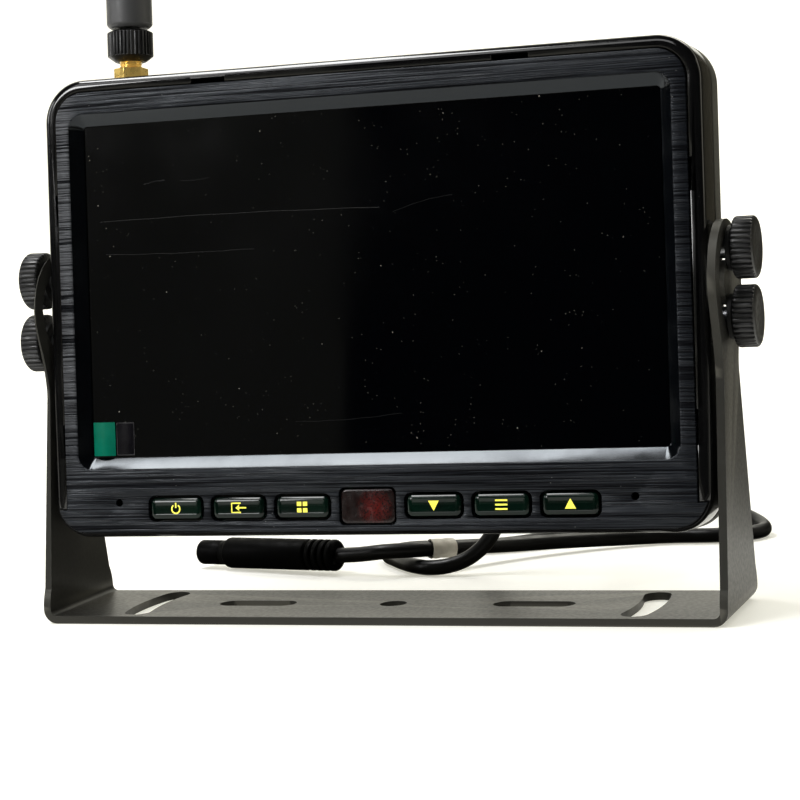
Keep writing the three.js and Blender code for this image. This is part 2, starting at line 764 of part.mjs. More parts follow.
const jackProfile = [[0, 46.5], [4.4, 46.5], [4.4, 49.7], [JACK_RADIUS, 49.7], [JACK_RADIUS, 70], [0, 70]];
add(antenna, "antenna_jack", turned(jackProfile, 20), "gold");
add(
  antenna,
  "jack_washer",
  turned([[3.3, 60.3], [4.7, 60.3], [4.7, 60.9], [3.3, 60.9], [3.3, 60.3]], 20),
  "gold",
);
add(
  antenna,
  "jack_nut",
  cut(bar(8 / Math.sqrt(3), 61.2, 64.4, 6), bar(JACK_RADIUS + GAP, 60, 66, 20)),
  "gold",
);

function antennaCollar() {
  const knurl = upright(ribbedOutline(ANTENNA_RADIUS, 24, 0.35), COLLAR_BOTTOM, COLLAR_TOP);
  const chamfers = turned([
    [0, COLLAR_BOTTOM - 1],
    [ANTENNA_RADIUS - 2.2, COLLAR_BOTTOM - 1],
    [ANTENNA_RADIUS + 0.1, COLLAR_BOTTOM + 1.3],
    [ANTENNA_RADIUS + 0.1, COLLAR_TOP - 0.8],
    [ANTENNA_RADIUS - 1.6, COLLAR_TOP + 1],
    [0, COLLAR_TOP + 1],
  ], 24);
  const bore = turned([[0, 66], [3.4, 66], [3.4, 71.2], [2.9, 71.2], [2.9, 78], [0, 78]], 20);
  return cut(overlap(knurl, chamfers), bore);
}
add(antenna, "antenna_collar", antennaCollar(), "antennaGrey");

// A cheek or tongue seen along the elbow pin: round about the pin, straight below or above it.
function elbowProfile(radius, reach) {
  const shape = new THREE.Shape();
  const up = Math.sign(reach);
  shape.absarc(0, ELBOW_Z, radius, up > 0 ? Math.PI : 0, up > 0 ? 2 * Math.PI : Math.PI);
  shape.lineTo(up > 0 ? radius : -radius, ELBOW_Z + reach);
  shape.lineTo(up > 0 ? -radius : radius, ELBOW_Z + reach);
  return shape;
}

const FORK_HALF_GAP = 3.3;
function antennaBase() {
  const body = turned([
    [0, 71.5],
    [2.6, 71.5],
    [2.6, FORK_BOTTOM],
    [ANTENNA_RADIUS - 0.9, FORK_BOTTOM],
    [ANTENNA_RADIUS, FORK_BOTTOM + 0.9],
    [ANTENNA_RADIUS, ELBOW_Z + ANTENNA_RADIUS],
    [0, ELBOW_Z + ANTENNA_RADIUS],
  ], 24);
  const cheeks = sideways(elbowProfile(ANTENNA_RADIUS, 60 - ELBOW_Z), -8, 8);
  const slot = block([-FORK_HALF_GAP, -8, FORK_FLOOR], [FORK_HALF_GAP, 8, 110]);
  const pinHole = alongX(bar(1.8, -8, 8, 16)).translate(0, 0, ELBOW_Z);
  return cut(overlap(body, cheeks), slot, pinHole);
}
add(antenna, "antenna_base", antennaBase(), "antennaGrey");
add(antenna, "elbow_pin", alongX(bar(1.5, -5.6, 5.6, 16)).translate(0, 0, ELBOW_Z), "steel");

function antennaWhip() {
  const half = FORK_HALF_GAP - 0.35;
  const tongue = sideways(elbowProfile(5.6, WHIP_START + 1 - ELBOW_Z), -half, half);
  const rod = turned([
    [0, WHIP_START],
    [ANTENNA_RADIUS - 0.4, WHIP_START],
    [ANTENNA_RADIUS, WHIP_START + 0.4],
    [5, WHIP_TIP - 4],
    [4.2, WHIP_TIP - 1.2],
    [2.6, WHIP_TIP],
    [0, WHIP_TIP],
  ], 24);
  const pinHole = alongX(bar(1.8, -8, 8, 16)).translate(0, 0, ELBOW_Z);
  return cut(join(tongue, rod), pinHole);
}
add(antenna, "antenna_whip", antennaWhip(), "antennaGrey");

// ---------- Power lead ----------

// Grommet in the cover, with the tapered strain relief that the lead comes out of.
add(
  monitor,
  "lead_grommet",
  alongY(
    turned([
      [0, 11],
      [5, 11],
      [5, 13.1],
      [3.5, 13.1],
      [3.5, COVER_BACK + GAP],
      [5.5, COVER_BACK + GAP],
      [5.5, COVER_BACK + 2],
      [4, COVER_BACK + 2.4],
      [2.9, RELIEF_TIP],
      [0, RELIEF_TIP],
    ], 16),
  ).translate(LEAD_EXIT_X, 0, 0),
  "rubber",
);

// A plain tube along part of a curve, with a bore when it is a sleeve.
function tube(curve, steps, radius, bore = 0) {
  const ring = (reach) =>
    Array.from({ length: LEAD_SIDES }, (_, side) => {
      const angle = (side * 2 * Math.PI) / LEAD_SIDES;
      return new THREE.Vector2(reach * Math.cos(angle), reach * Math.sin(angle));
    });
  const shape = new THREE.Shape(ring(radius));
  if (bore) shape.holes.push(new THREE.Path(ring(bore)));
  return new THREE.ExtrudeGeometry(shape, { steps, extrudePath: curve });
}

const reliefEnd = new THREE.Vector3(LEAD_EXIT_X, RELIEF_TIP + GAP, 0)
  .applyEuler(monitor.rotation)
  .add(new THREE.Vector3(0, PIVOT_Y, PIVOT_Z));
const plugRear = new THREE.Vector3(...PLUG_REAR);
const plugWay = new THREE.Vector3(...PLUG_TIP).sub(plugRear).normalize();
const leadCurve = new THREE.CatmullRomCurve3([
  reliefEnd,
  ...LEAD_ROUTE.map((point) => new THREE.Vector3(...point)),
  plugRear.clone().addScaledVector(plugWay, -GAP),
]);
add(kit, "power_lead", tube(leadCurve, LEAD_STEPS, LEAD_RADIUS), "leadBlack");

// A blank wrap-round label near the plug.
const LABEL_START = 0.911;
const LABEL_END = 0.9295;
const labelCurve = new THREE.CatmullRomCurve3(
  [0, 0.25, 0.5, 0.75, 1].map((share) =>
    leadCurve.getPointAt(LABEL_START + share * (LABEL_END - LABEL_START)),
  ),
);
add(kit, "lead_label", tube(labelCurve, 4, LEAD_RADIUS + 0.75, LEAD_RADIUS + 0.5), "labelWhite");

const alongPlug = (geometry) =>
  geometry
    .applyQuaternion(new THREE.Quaternion().setFromUnitVectors(new THREE.Vector3(0, 0, 1), plugWay))
    .translate(...PLUG_REAR);

// The grip's rear end is cut by grooves so that it flexes with the lead.
function plugBody() {
  const profile = [[0, 0], [PLUG_RADIUS - 0.9, 0], [PLUG_RADIUS - 0.3, 0.6]];
  for (let ridge = 0; ridge < 4; ridge += 1) {
    const start = 0.9 + ridge * 2.35;
    profile.push([PLUG_RADIUS, start], [PLUG_RADIUS, start + 1.15]);
    profile.push([PLUG_RADIUS - 0.9, start + 1.45], [PLUG_RADIUS - 0.9, start + 2.05]);
  }
  profile.push(
    [PLUG_RADIUS, 10.5],
    [PLUG_RADIUS, PLUG_BODY_LENGTH - 1.2],
    [PLUG_RADIUS - 0.7, PLUG_BODY_LENGTH],
    [0, PLUG_BODY_LENGTH],
  );
  return alongPlug(turned(profile, 16));
}
add(kit, "plug_body", plugBody(), "plugCore");

// The barrel in front of the grip, with the centre contact in its bore.
const noseBack = PLUG_BODY_LENGTH + GAP;
const noseProfile = [
  [0, noseBack],
  [PLUG_NOSE_RADIUS, noseBack],
  [PLUG_NOSE_RADIUS, PLUG_LENGTH - 0.5],
  [PLUG_NOSE_RADIUS - 0.4, PLUG_LENGTH],
  [2.7, PLUG_LENGTH],
  [2.7, noseBack + 1.5],
  [0.8, noseBack + 1.5],
  [0.8, PLUG_LENGTH - 1.6],
  [0, PLUG_LENGTH - 1],
];
add(kit, "plug_nose", alongPlug(turned(noseProfile, 16)), "plugCore");

export default kit;
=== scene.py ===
"""Looks of the rear-view monitor: its housing, screen, keys, bracket, antenna and power lead.

Lengths are in millimetres until a mesh is placed. A monitor piece is drawn in the monitor's own
frame, with the tilt axis at the origin and the screen facing -Y.
"""

import math

import bmesh
import bpy
import numpy as np
from mathutils import Matrix, Vector


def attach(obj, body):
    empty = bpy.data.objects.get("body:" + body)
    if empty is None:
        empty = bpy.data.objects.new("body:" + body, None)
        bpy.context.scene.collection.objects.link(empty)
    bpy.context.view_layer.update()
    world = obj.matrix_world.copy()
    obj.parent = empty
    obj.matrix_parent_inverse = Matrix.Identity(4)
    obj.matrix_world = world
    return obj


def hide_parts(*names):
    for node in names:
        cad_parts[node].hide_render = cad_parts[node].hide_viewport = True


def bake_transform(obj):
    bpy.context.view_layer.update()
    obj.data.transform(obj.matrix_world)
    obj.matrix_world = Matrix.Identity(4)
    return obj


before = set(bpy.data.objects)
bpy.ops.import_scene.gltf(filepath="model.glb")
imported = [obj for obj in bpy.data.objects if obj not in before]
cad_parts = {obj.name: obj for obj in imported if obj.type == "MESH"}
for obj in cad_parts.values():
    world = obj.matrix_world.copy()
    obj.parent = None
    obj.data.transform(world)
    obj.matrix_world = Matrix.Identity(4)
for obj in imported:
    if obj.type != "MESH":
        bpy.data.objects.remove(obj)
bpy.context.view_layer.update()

MM = 0.001

PIVOT_Y = -7.2
PIVOT_Z = 81
LEAN = math.radians(5.5)
METRES = Matrix.Scale(MM, 4)
STANDING = METRES
MONITOR = METRES @ Matrix.Translation((0, PIVOT_Y, PIVOT_Z)) @ Matrix.Rotation(-LEAN, 4, "X")


# ---------- Camera ----------

CAMERA_TARGET = Vector((2.35, 0, 53.85)) * MM
CAMERA_DISTANCE = 612.18
CAMERA_AZIMUTH = 19.68
CAMERA_ELEVATION = 5.48
CAMERA_ROLL = -3.57
CAMERA_LENS = 106.47


def make_camera():
    azimuth = math.radians(CAMERA_AZIMUTH)
    elevation = math.radians(CAMERA_ELEVATION)
    roll = math.radians(CAMERA_ROLL)
    back = Vector(
        (
            math.sin(azimuth) * math.cos(elevation),
            -math.cos(azimuth) * math.cos(elevation),
            math.sin(elevation),
        )
    )
    level = Vector((math.cos(azimuth), math.sin(azimuth), 0))
    upward = back.cross(level)
    right = math.cos(roll) * level + math.sin(roll) * upward
    up = -math.sin(roll) * level + math.cos(roll) * upward
    data = bpy.data.cameras.new("camera")
    data.lens = CAMERA_LENS
    data.sensor_width = 36
    data.clip_start = 0.05
    data.clip_end = 30
    camera = bpy.data.objects.new("camera", data)
    place = CAMERA_TARGET + back * CAMERA_DISTANCE * MM
    camera.matrix_world = Matrix(
        (
            (right.x, up.x, back.x, place.x),
            (right.y, up.y, back.y, place.y),
            (right.z, up.z, back.z, place.z),
            (0, 0, 0, 1),
        )
    )
    bpy.context.collection.objects.link(camera)
    bpy.context.scene.camera = camera


make_camera()


# ---------- Materials ----------


class Finish:
    """A procedural material that is put together from a few kinds of detail."""

    def __init__(self, name, color, roughness, metallic=0.0, specular=0.5, sheen=(1, 1, 1)):
        self.material = bpy.data.materials.new(name)
        self.material.use_nodes = True
        self.tree = self.material.node_tree
        self.shader = self.tree.nodes["Principled BSDF"]
        inputs = self.shader.inputs
        inputs["Base Color"].default_value = (*color, 1)
        inputs["Roughness"].default_value = roughness
        inputs["Metallic"].default_value = metallic
        inputs["Specular IOR Level"].default_value = specular
        inputs["Specular Tint"].default_value = (*sheen, 1)
        self.color = color
        self.place = self.node("ShaderNodeTexCoord").outputs["Object"]
        self.color_socket = None
        self.bump_socket = None

    def node(self, kind, **settings):
        made = self.tree.nodes.new(kind)
        for key, value in settings.items():
            setattr(made, key, value)
        return made

    def link(self, start, end):
        self.tree.links.new(start, end)

    def noise(self, scale, detail=3.0, roughness=0.55, stretch=None):
        """Noise with features about 1/scale metres across, or stretched along the axes."""
        texture = self.node("ShaderNodeTexNoise")
        texture.inputs["Scale"].default_value = 1 if stretch else scale
        texture.inputs["Detail"].default_value = detail
        texture.inputs["Roughness"].default_value = roughness
        source = self.place
        if stretch:
            mapping = self.node("ShaderNodeMapping")
            mapping.inputs["Scale"].default_value = stretch
            self.link(self.place, mapping.inputs["Vector"])
            source = mapping.outputs["Vector"]
        self.link(source, texture.inputs["Vector"])
        return texture.outputs["Fac"]

    def spread(self, value, low, high, start=0.35, end=0.65):
        """Remaps a texture to run from low to high."""
        ramp = self.node("ShaderNodeMapRange")
        ramp.inputs["From Min"].default_value = start
        ramp.inputs["From Max"].default_value = end
        ramp.inputs["To Min"].default_value = low
        ramp.inputs["To Max"].default_value = high
        self.link(value, ramp.inputs["Value"])
        return ramp.outputs["Result"]

    def rough(self, value, low, high, start=0.35, end=0.65):
        self.link(self.spread(value, low, high, start, end), self.shader.inputs["Roughness"])
        return self

    def tint(self, value, color, low=0.0, high=1.0, start=0.35, end=0.65):
        """Mixes another colour in where the texture is high."""
        mix = self.node("ShaderNodeMix", data_type="RGBA")
        self.link(self.spread(value, low, high, start, end), mix.inputs["Factor"])
        if self.color_socket is None:
            mix.inputs["A"].default_value = (*self.color, 1)
        else:
            self.link(self.color_socket, mix.inputs["A"])
        mix.inputs["B"].default_value = (*color, 1)
        self.color_socket = mix.outputs["Result"]
        self.link(self.color_socket, self.shader.inputs["Base Color"])
        return self

    def bump(self, value, depth_mm, strength=1.0):
        bump = self.node("ShaderNodeBump")
        bump.inputs["Distance"].default_value = depth_mm * MM
        bump.inputs["Strength"].default_value = strength
        self.link(value, bump.inputs["Height"])
        if self.bump_socket is not None:
            self.link(self.bump_socket, bump.inputs["Normal"])
        self.bump_socket = bump.outputs["Normal"]
        self.link(self.bump_socket, self.shader.inputs["Normal"])
        return self

    def shine(self, value, low, high, start=0.35, end=0.65):
        """Makes reflections weak where the texture is low."""
        ramp = self.spread(value, low, high, start, end)
        self.link(ramp, self.shader.inputs["Specular IOR Level"])
        return self

    def along(self, axis):
        """Where a point lies on one axis, in metres."""
        parts = self.node("ShaderNodeSeparateXYZ")
        self.link(self.place, parts.inputs["Vector"])
        return parts.outputs[axis]

    def product(self, first, second):
        both = self.node("ShaderNodeMath", operation="MULTIPLY")
        self.link(first, both.inputs[0])
        self.link(second, both.inputs[1])
        return both.outputs["Value"]

    def glow_spot(self, centre, radius, color, amount):
        """Tints the surroundings of a point, fading outwards."""
        reach = self.node("ShaderNodeVectorMath", operation="DISTANCE")
        self.link(self.place, reach.inputs[0])
        reach.inputs[1].default_value = centre
        return self.tint(reach.outputs["Value"], color, amount, 0, radius * 0.2, radius)

    def edges(self, color, amount=0.6, start=0.52, end=0.6):
        """Paints a paler tone on the outer edges: a painted edge highlight."""
        pointed = self.node("ShaderNodeNewGeometry").outputs["Pointiness"]
        return self.tint(pointed, color, 0, amount, start, end)

    def specks(self, scale, color, amount, size):
        """Scattered dots, in patches."""
        cells = self.node("ShaderNodeTexVoronoi")
        cells.inputs["Scale"].default_value = scale
        self.link(self.place, cells.inputs["Vector"])
        dots = self.spread(cells.outputs["Distance"], 1, 0, size * 0.5, size)
        patches = self.spread(self.noise(scale * 0.23, 1), 0, 1, 0.56, 0.6)
        return self.tint(self.product(dots, patches), color, 0, amount, 0, 1)

    def glow(self, color, strength):
        self.shader.inputs["Emission Color"].default_value = (*color, 1)
        self.shader.inputs["Emission Strength"].default_value = strength
        return self


FINISHES = {}


def new(name, *args, **kwargs):
    finish = Finish(name, *args, **kwargs)
    FINISHES[name] = finish.material
    return finish


def make_housing_finishes():
    coat = new("powder_coat", (0.0150, 0.0148, 0.0132), 0.38, specular=0.22, sheen=(1, 0.98, 0.86))
    coat.rough(coat.noise(900), 0.34, 0.44).bump(coat.noise(2400, 2), 0.03, 0.2)
    coat.tint(coat.noise(14, 4), (0.024, 0.0235, 0.021), 0, 0.6)
    # edges() here paints a pale highlight along the outer edges.
    coat.edges((0.11, 0.105, 0.09), 0.55).specks(700, (0.2, 0.2, 0.18), 0.5, 0.07)

    gloss = new("frame_gloss", (0.0028, 0.0028, 0.003), 0.1, specular=0.5)
    gloss.rough(gloss.noise(60), 0.07, 0.16).bump(gloss.noise(350, 2), 0.02, 0.12)
    # edges() here paints a pale highlight along the outer edges.
    gloss.edges((0.05, 0.047, 0.038), 0.5).specks(500, (0.12, 0.12, 0.11), 0.4, 0.07)

    brushed = new("fascia_brushed", (0.0026, 0.0034, 0.0054), 0.3, sheen=(0.88, 0.94, 1))
    streaks = brushed.noise(1, 3, 0.6, stretch=(16, 16, 2100))
    fine = brushed.noise(1, 2, 0.5, stretch=(60, 60, 4200))
    # The left strip is painted lighter above its lowest part: a painted reflection of the bright
    # surroundings to the left.
    painted_reflection_left = brushed.spread(brushed.along("X"), 1, 0, -0.0815, -0.0775)
    painted_reflection_upper = brushed.spread(brushed.along("Z"), 0, 1, 0.036, 0.062)
    brushed.tint(brushed.product(painted_reflection_left, painted_reflection_upper), (0.062, 0.063, 0.067), 0, 0.95, 0, 1)
    brushed.tint(streaks, (0.0006, 0.0006, 0.001), 0, 1, 0.47, 0.42)
    brushed.tint(fine, (0.0040, 0.0042, 0.0052), 0, 0.9, 0.5, 0.43)
    brushed.tint(fine, (0.012, 0.0135, 0.017), 0, 0.6, 0.55, 0.68)
    brushed.rough(fine, 0.22, 0.38).shine(streaks, 0.04, 0.25, 0.42, 0.5)
    brushed.bump(streaks, 0.2, 1).bump(fine, 0.05, 0.8)
    brushed.specks(600, (0.35, 0.35, 0.33), 0.6, 0.07)

    lip = new("window_gloss", (0.0010, 0.0013, 0.0018), 0.12, specular=0.37, sheen=(0.85, 0.93, 1))
    lip.rough(lip.noise(90), 0.1, 0.2).bump(lip.noise(300, 2), 0.02, 0.15)
    # edges() here paints a pale highlight along the outer edges.
    lip.edges((0.05, 0.05, 0.048), 0.4)

    satin = new("cover_satin", (0.038, 0.0368, 0.0300), 0.5, sheen=(1, 0.97, 0.84))
    satin.rough(satin.noise(1400), 0.42, 0.58).bump(satin.noise(2200, 2), 0.04, 0.4)
    # edges() here paints a pale highlight along the outer edges.
    satin.tint(satin.noise(14, 3), (0.044, 0.042, 0.035), 0, 0.6).edges((0.07, 0.068, 0.06), 0.4)


def make_screen_finishes():
    glass = new("screen_glass", (0.002, 0.0022, 0.0026), 0.06, specular=0.4)
    glass.rough(glass.noise(40), 0.05, 0.09)

    film = new("clear_film", (0.0003, 0.0004, 0.0007), 0.055, specular=0.35)
    film.rough(film.noise(22, 4), 0.04, 0.1).bump(film.noise(55, 2), 0.05, 0.08)
    film.specks(330, (0.34, 0.33, 0.28), 1, 0.055)
    film.specks(900, (0.13, 0.13, 0.11), 1, 0.1)

    scratch = new("scratch", (0.0040, 0.0040, 0.0034), 0.5, specular=0.2)
    scratch.tint(scratch.noise(300, 2), (0.0015, 0.0015, 0.0015), 0, 1, 0.4, 0.55)
    scratch.rough(scratch.noise(900), 0.4, 0.6)

    tail = new("tail_film", (0.0045, 0.0042, 0.0055), 0.12, specular=0.3)
    tail.rough(tail.noise(200), 0.08, 0.2).bump(tail.noise(140, 2), 0.03, 0.3)

    # The pale rim colour is a painted highlight: the clear film's cut edge catching the light.
    rim = new("tail_highlight_rim", (0.014, 0.013, 0.015), 0.3)
    rim.rough(rim.noise(300), 0.2, 0.4).tint(rim.noise(500), (0.004, 0.004, 0.0045), 0, 0.9)

    tab = new("tab_green", (0.0006, 0.105, 0.062), 0.2, specular=0.3)
    tab.tint(tab.noise(160), (0.001, 0.14, 0.088), 0, 0.7).rough(tab.noise(70), 0.14, 0.26)
    tab.bump(tab.noise(220), 0.03, 0.2)


def make_key_finishes():
    key = new("key_gloss", (0.0012, 0.0045, 0.0030), 0.08, specular=0.26)
    key.rough(key.noise(120), 0.06, 0.15).bump(key.noise(420, 2), 0.015, 0.2)
    key.tint(key.noise(90), (0.0015, 0.0085, 0.0050), 0, 0.8)
    key.specks(700, (0.1, 0.12, 0.11), 0.4, 0.06)

    ink = new("legend_yellow", (0.95, 0.86, 0.09), 0.4)
    # The glow is painted light that makes the printed legends brighter than the lamps make them.
    ink.glow((1, 0.88, 0.1), 0.42)
    ink.tint(ink.noise(900), (0.70, 0.62, 0.05), 0, 0.6).rough(ink.noise(600), 0.32, 0.5)

    eye = new("infrared_red", (0.0095, 0.0045, 0.0042), 0.2, specular=0.3)
    eye.glow_spot((0.0018, -0.0225, 0.0292), 0.0052, (0.085, 0.006, 0.005), 0.85)
    eye.tint(eye.noise(1900, 4), (0.0045, 0.003, 0.003), 0, 0.8, 0.45, 0.6)
    eye.rough(eye.noise(500), 0.14, 0.3).bump(eye.noise(1500, 2), 0.02, 0.3)


def make_hardware_finishes():
    knob = new("knob_grey", (0.0036, 0.0036, 0.0038), 0.36, specular=0.38)
    knob.rough(knob.noise(700), 0.28, 0.44).bump(knob.noise(1500), 0.03, 0.3)
    # edges() here paints a pale highlight along the outer edges.
    knob.edges((0.055, 0.055, 0.058), 0.6, 0.53, 0.62).specks(500, (0.16, 0.16, 0.15), 0.5, 0.07)

    aerial = new("antenna_grey", (0.043, 0.0435, 0.045), 0.46)
    aerial.rough(aerial.noise(500), 0.4, 0.56).bump(aerial.noise(1800), 0.03, 0.3)
    # edges() here paints a pale highlight along the outer edges.
    aerial.edges((0.085, 0.085, 0.085), 0.45, 0.53, 0.62)

    gold = new("gold_plate", (0.95, 0.68, 0.20), 0.28, metallic=0.72)
    gold.tint(gold.noise(350), (0.80, 0.52, 0.13), 0, 0.8).rough(gold.noise(500), 0.2, 0.38)
    gold.bump(gold.noise(900), 0.02, 0.25)
    # The glow is painted light that brightens the gold plating beyond what the lamps give it.
    gold.glow((1, 0.68, 0.2), 0.09)

    for name, color, rough in (
        ("zinc", (0.55, 0.56, 0.57), 0.34),
        ("steel", (0.42, 0.43, 0.45), 0.36),
    ):
        metal = new(name, color, rough, metallic=1.0)
        metal.tint(metal.noise(300), tuple(c * 0.7 for c in color), 0, 0.7)
        metal.rough(metal.noise(1, 3, 0.5, stretch=(200, 1800, 1800)), rough - 0.1, rough + 0.12)
        metal.bump(metal.noise(1500), 0.01, 0.3)


def make_inner_finishes():
    board = new("board", (0.012, 0.075, 0.030), 0.42)
    board.tint(board.noise(1, 1, 0.3, stretch=(900, 900, 120)), (0.02, 0.12, 0.05), 0, 0.8)
    board.rough(board.noise(700), 0.35, 0.5)
    board.bump(board.noise(1, 1, 0.3, stretch=(800, 800, 90)), 0.04, 0.5)

    switch = new("switch_grey", (0.06, 0.062, 0.066), 0.45)
    switch.tint(switch.noise(500), (0.1, 0.1, 0.105), 0, 0.6).rough(switch.noise(900), 0.38, 0.55)

    cone = new("cone_black", (0.012, 0.012, 0.013), 0.8)
    cone.tint(cone.noise(900), (0.03, 0.03, 0.03), 0, 0.8).bump(cone.noise(1600), 0.08, 0.6)


def make_lead_finishes():
    rubber = new("rubber", (0.0025, 0.0025, 0.0026), 0.55, specular=0.2)
    rubber.rough(rubber.noise(600), 0.5, 0.7).bump(rubber.noise(1400), 0.03, 0.4)
    # edges() here paints a pale highlight along the outer edges.
    rubber.edges((0.02, 0.02, 0.019), 0.4)

    lead = new("lead_pvc", (0.0012, 0.0012, 0.0012), 0.34, specular=0.24)
    lead.rough(lead.noise(220), 0.3, 0.46).bump(lead.noise(650, 3), 0.04, 0.35)
    lead.tint(lead.noise(40, 3), (0.0035, 0.0034, 0.003), 0, 0.7)
    lead.specks(650, (0.13, 0.125, 0.11), 0.4, 0.07)

    plug = new("plug_pvc", (0.0003, 0.0003, 0.0003), 0.4, specular=0.03)
    plug.rough(plug.noise(420), 0.38, 0.56).bump(plug.noise(1300), 0.03, 0.4)
    # edges() here paints a pale highlight along the outer edges.
    plug.edges((0.008, 0.008, 0.0075), 0.4)

    label = new("label_white", (0.50, 0.47, 0.41), 0.5)
    label.tint(label.noise(260, 4), (0.33, 0.30, 0.25), 0, 0.8).bump(label.noise(420, 3), 0.05, 0.5)
    label.rough(label.noise(500), 0.4, 0.62)


make_housing_finishes()
make_screen_finishes()
make_key_finishes()
make_hardware_finishes()
make_inner_finishes()
make_lead_finishes()


# ---------- Mesh helpers ----------


def arc(cx, cy, radius, start, end, steps):
    """Points round an arc, angles in degrees."""
    angles = np.radians(np.linspace(start, end, steps + 1))
    return [(cx + radius * math.cos(a), cy + radius * math.sin(a)) for a in angles]


def rounded(left, right, bottom, top, low, high=None, steps=10):
    """A rounded rectangle, anticlockwise from the bottom right corner."""
    high = low if high is None else high
    return [
        *arc(right - low, bottom + low, low, -90, 0, steps),
        *arc(right - high, top - high, high, 0, 90, steps),
        *arc(left + high, top - high, high, 90, 180, steps),
        *arc(left + low, bottom + low, low, 180, 270, steps),
    ]


def inset(points, distance):
    """Moves an anticlockwise outline inwards, or outwards when the distance is negative."""
    if not distance:
        return list(points)
    here = np.array(points, float)
    before = here - np.roll(here, 1, axis=0)
    after = np.roll(here, -1, axis=0) - here
    before /= np.maximum(np.linalg.norm(before, axis=1), 1e-9)[:, None]
    after /= np.maximum(np.linalg.norm(after, axis=1), 1e-9)[:, None]
    inward_before = np.stack([-before[:, 1], before[:, 0]], axis=1)
    inward_after = np.stack([-after[:, 1], after[:, 0]], axis=1)
    middle = inward_before + inward_after
    length = np.maximum((middle**2).sum(axis=1), 0.35)
    return [tuple(p) for p in here + middle * (2 * distance / length)[:, None]]


def stroke(points, width, closed=False):
    """A flat band along a line, as quads in X and Z."""
    points = [np.array(p, float) for p in points]
    count = len(points)
    rows = []
    for i, point in enumerate(points):
        before = points[i - 1] if i or closed else points[i]
        after = points[(i + 1) % count] if i + 1 < count or closed else points[i]
        way = (after - before) / max(np.linalg.norm(after - before), 1e-9)
        across = np.array([-way[1], way[0]]) * width / 2
        rows.append((tuple(point - across), tuple(point + across)))
    bands = list(zip(rows, rows[1:]))
    if closed:
        bands.append((rows[-1], rows[0]))
    return [[a[0], b[0], b[1], a[1]] for a, b in bands]


def facing(points, y):
    return [(x, y, z) for x, z in points]


def sideways(points, x):
    return [(x, y, z) for y, z in points]


def level(points, z):
    return [(x, y, z) for x, y in points]


class Shell:
    """A mesh under construction."""

    def __init__(self):
        self.mesh = bmesh.new()

    def loop(self, points):
        return [self.mesh.verts.new(p) for p in points]

    def bridge(self, low, high, closed=True):
        """Joins two rows of points by quads."""
        count = len(low)
        for i in range(count if closed else count - 1):
            j = (i + 1) % count
            self.mesh.faces.new((low[i], low[j], high[j], high[i]))

    def loft(self, loops, cap_first=False, cap_last=False, closed=True):
        rows = [self.loop(points) for points in loops]
        for low, high in zip(rows, rows[1:]):
            self.bridge(low, high, closed)
        if cap_first:
            self.fill([rows[0]])
        if cap_last:
            self.fill([rows[-1]])
        return rows

    def fill(self, rings):
        """Fills the flat area inside the first ring and outside the others."""
        edges = []
        for ring in rings:
            for a, b in zip(ring, ring[1:] + ring[:1]):
                edges.append(self.mesh.edges.get((a, b)) or self.mesh.edges.new((a, b)))
        bmesh.ops.triangle_fill(self.mesh, use_beauty=True, use_dissolve=False, edges=edges)

    def plate(self, outline, low, high, soft, lift=facing, holes=()):
        """A plate with softened edges, and holes through it."""
        steps = [(soft, 0), (soft * 0.3, soft * 0.3), (0, soft)]
        ends = [[], []]
        for points, sign in [(outline, 1)] + [(hole, -1) for hole in holes]:
            loops = [lift(inset(points, sign * d), low + h) for d, h in steps]
            loops += [lift(inset(points, sign * d), high - h) for d, h in reversed(steps)]
            rows = self.loft(loops)
            ends[0].append(rows[0])
            ends[1].append(rows[-1])
        self.fill(ends[0])
        self.fill(ends[1])

    def soft_hole(self, outline, front, back, soft=0.22):
        """The wall of a hole, with a softened edge at its front."""
        way = 1 if back > front else -1
        lip = [(soft, front), (0.06, front + way * 0.06), (0, front + way * soft), (0, back)]
        return self.loft([facing(inset(outline, -d), y) for d, y in lip])

    def turned(self, profile, sides=40, ribs=None, capped=True):
        """A profile of (radius, height) turned round Z. ribs takes from the radius by angle."""
        loops = []
        for radius, height in profile:
            ring = []
            for i in range(sides):
                angle = 2 * math.pi * i / sides
                reach = radius - (ribs(i, radius, height) if ribs else 0)
                ring.append((reach * math.cos(angle), reach * math.sin(angle), height))
            loops.append(ring)
        self.loft(loops, cap_first=capped, cap_last=capped)

    def moved(self, matrix):
        self.mesh.transform(matrix)

    def finished(self, name):
        """Hands the mesh over to Blender."""
        mesh = bpy.data.meshes.new(name)
        self.mesh.to_mesh(mesh)
        self.mesh.free()
        return mesh


def rim_of(rows):
    """The border of a grid of points, once round."""
    right = [row[-1] for row in rows[1:-1]]
    left = [row[0] for row in reversed(rows[1:-1])]
    return [*rows[0], *right, *reversed(rows[-1]), *left]


def groove(i, depth, power, points=6):
    """How deep a row of grooves is at the i-th point round a rim."""
    phase = (i % points) / points
    return depth * max(0, math.cos(2 * math.pi * (phase - 0.5))) ** power


def added(name, mesh, material):
    """A new object in the scene."""
    made = bpy.data.objects.new(name, mesh)
    bpy.context.collection.objects.link(made)
    if material:
        mesh.materials.clear()
        mesh.materials.append(material)
    return made


def applied(piece):
    """Replaces a piece's mesh by what its modifiers make of it."""
    graph = bpy.context.evaluated_depsgraph_get()
    mesh = bpy.data.meshes.new_from_object(piece.evaluated_get(graph))
    piece.modifiers.clear()
    piece.data = mesh


def smoothed(piece, angle=32):
    piece.data.polygons.foreach_set("use_smooth", [True] * len(piece.data.polygons))
    piece.data.set_sharp_from_angle(angle=math.radians(angle))


def cut_away(piece, cutter, place):
    """Takes a shell's volume out of a piece."""
    cutter.mesh.transform(place)
    bmesh.ops.recalc_face_normals(cutter.mesh, faces=cutter.mesh.faces)
    tool = added("cutter", cutter.finished("cutter"), None)
    cut = piece.modifiers.new("cut", "BOOLEAN")
    cut.operation = "DIFFERENCE"
    cut.solver = "EXACT"
    cut.object = tool
    applied(piece)
    bpy.data.objects.remove(tool)


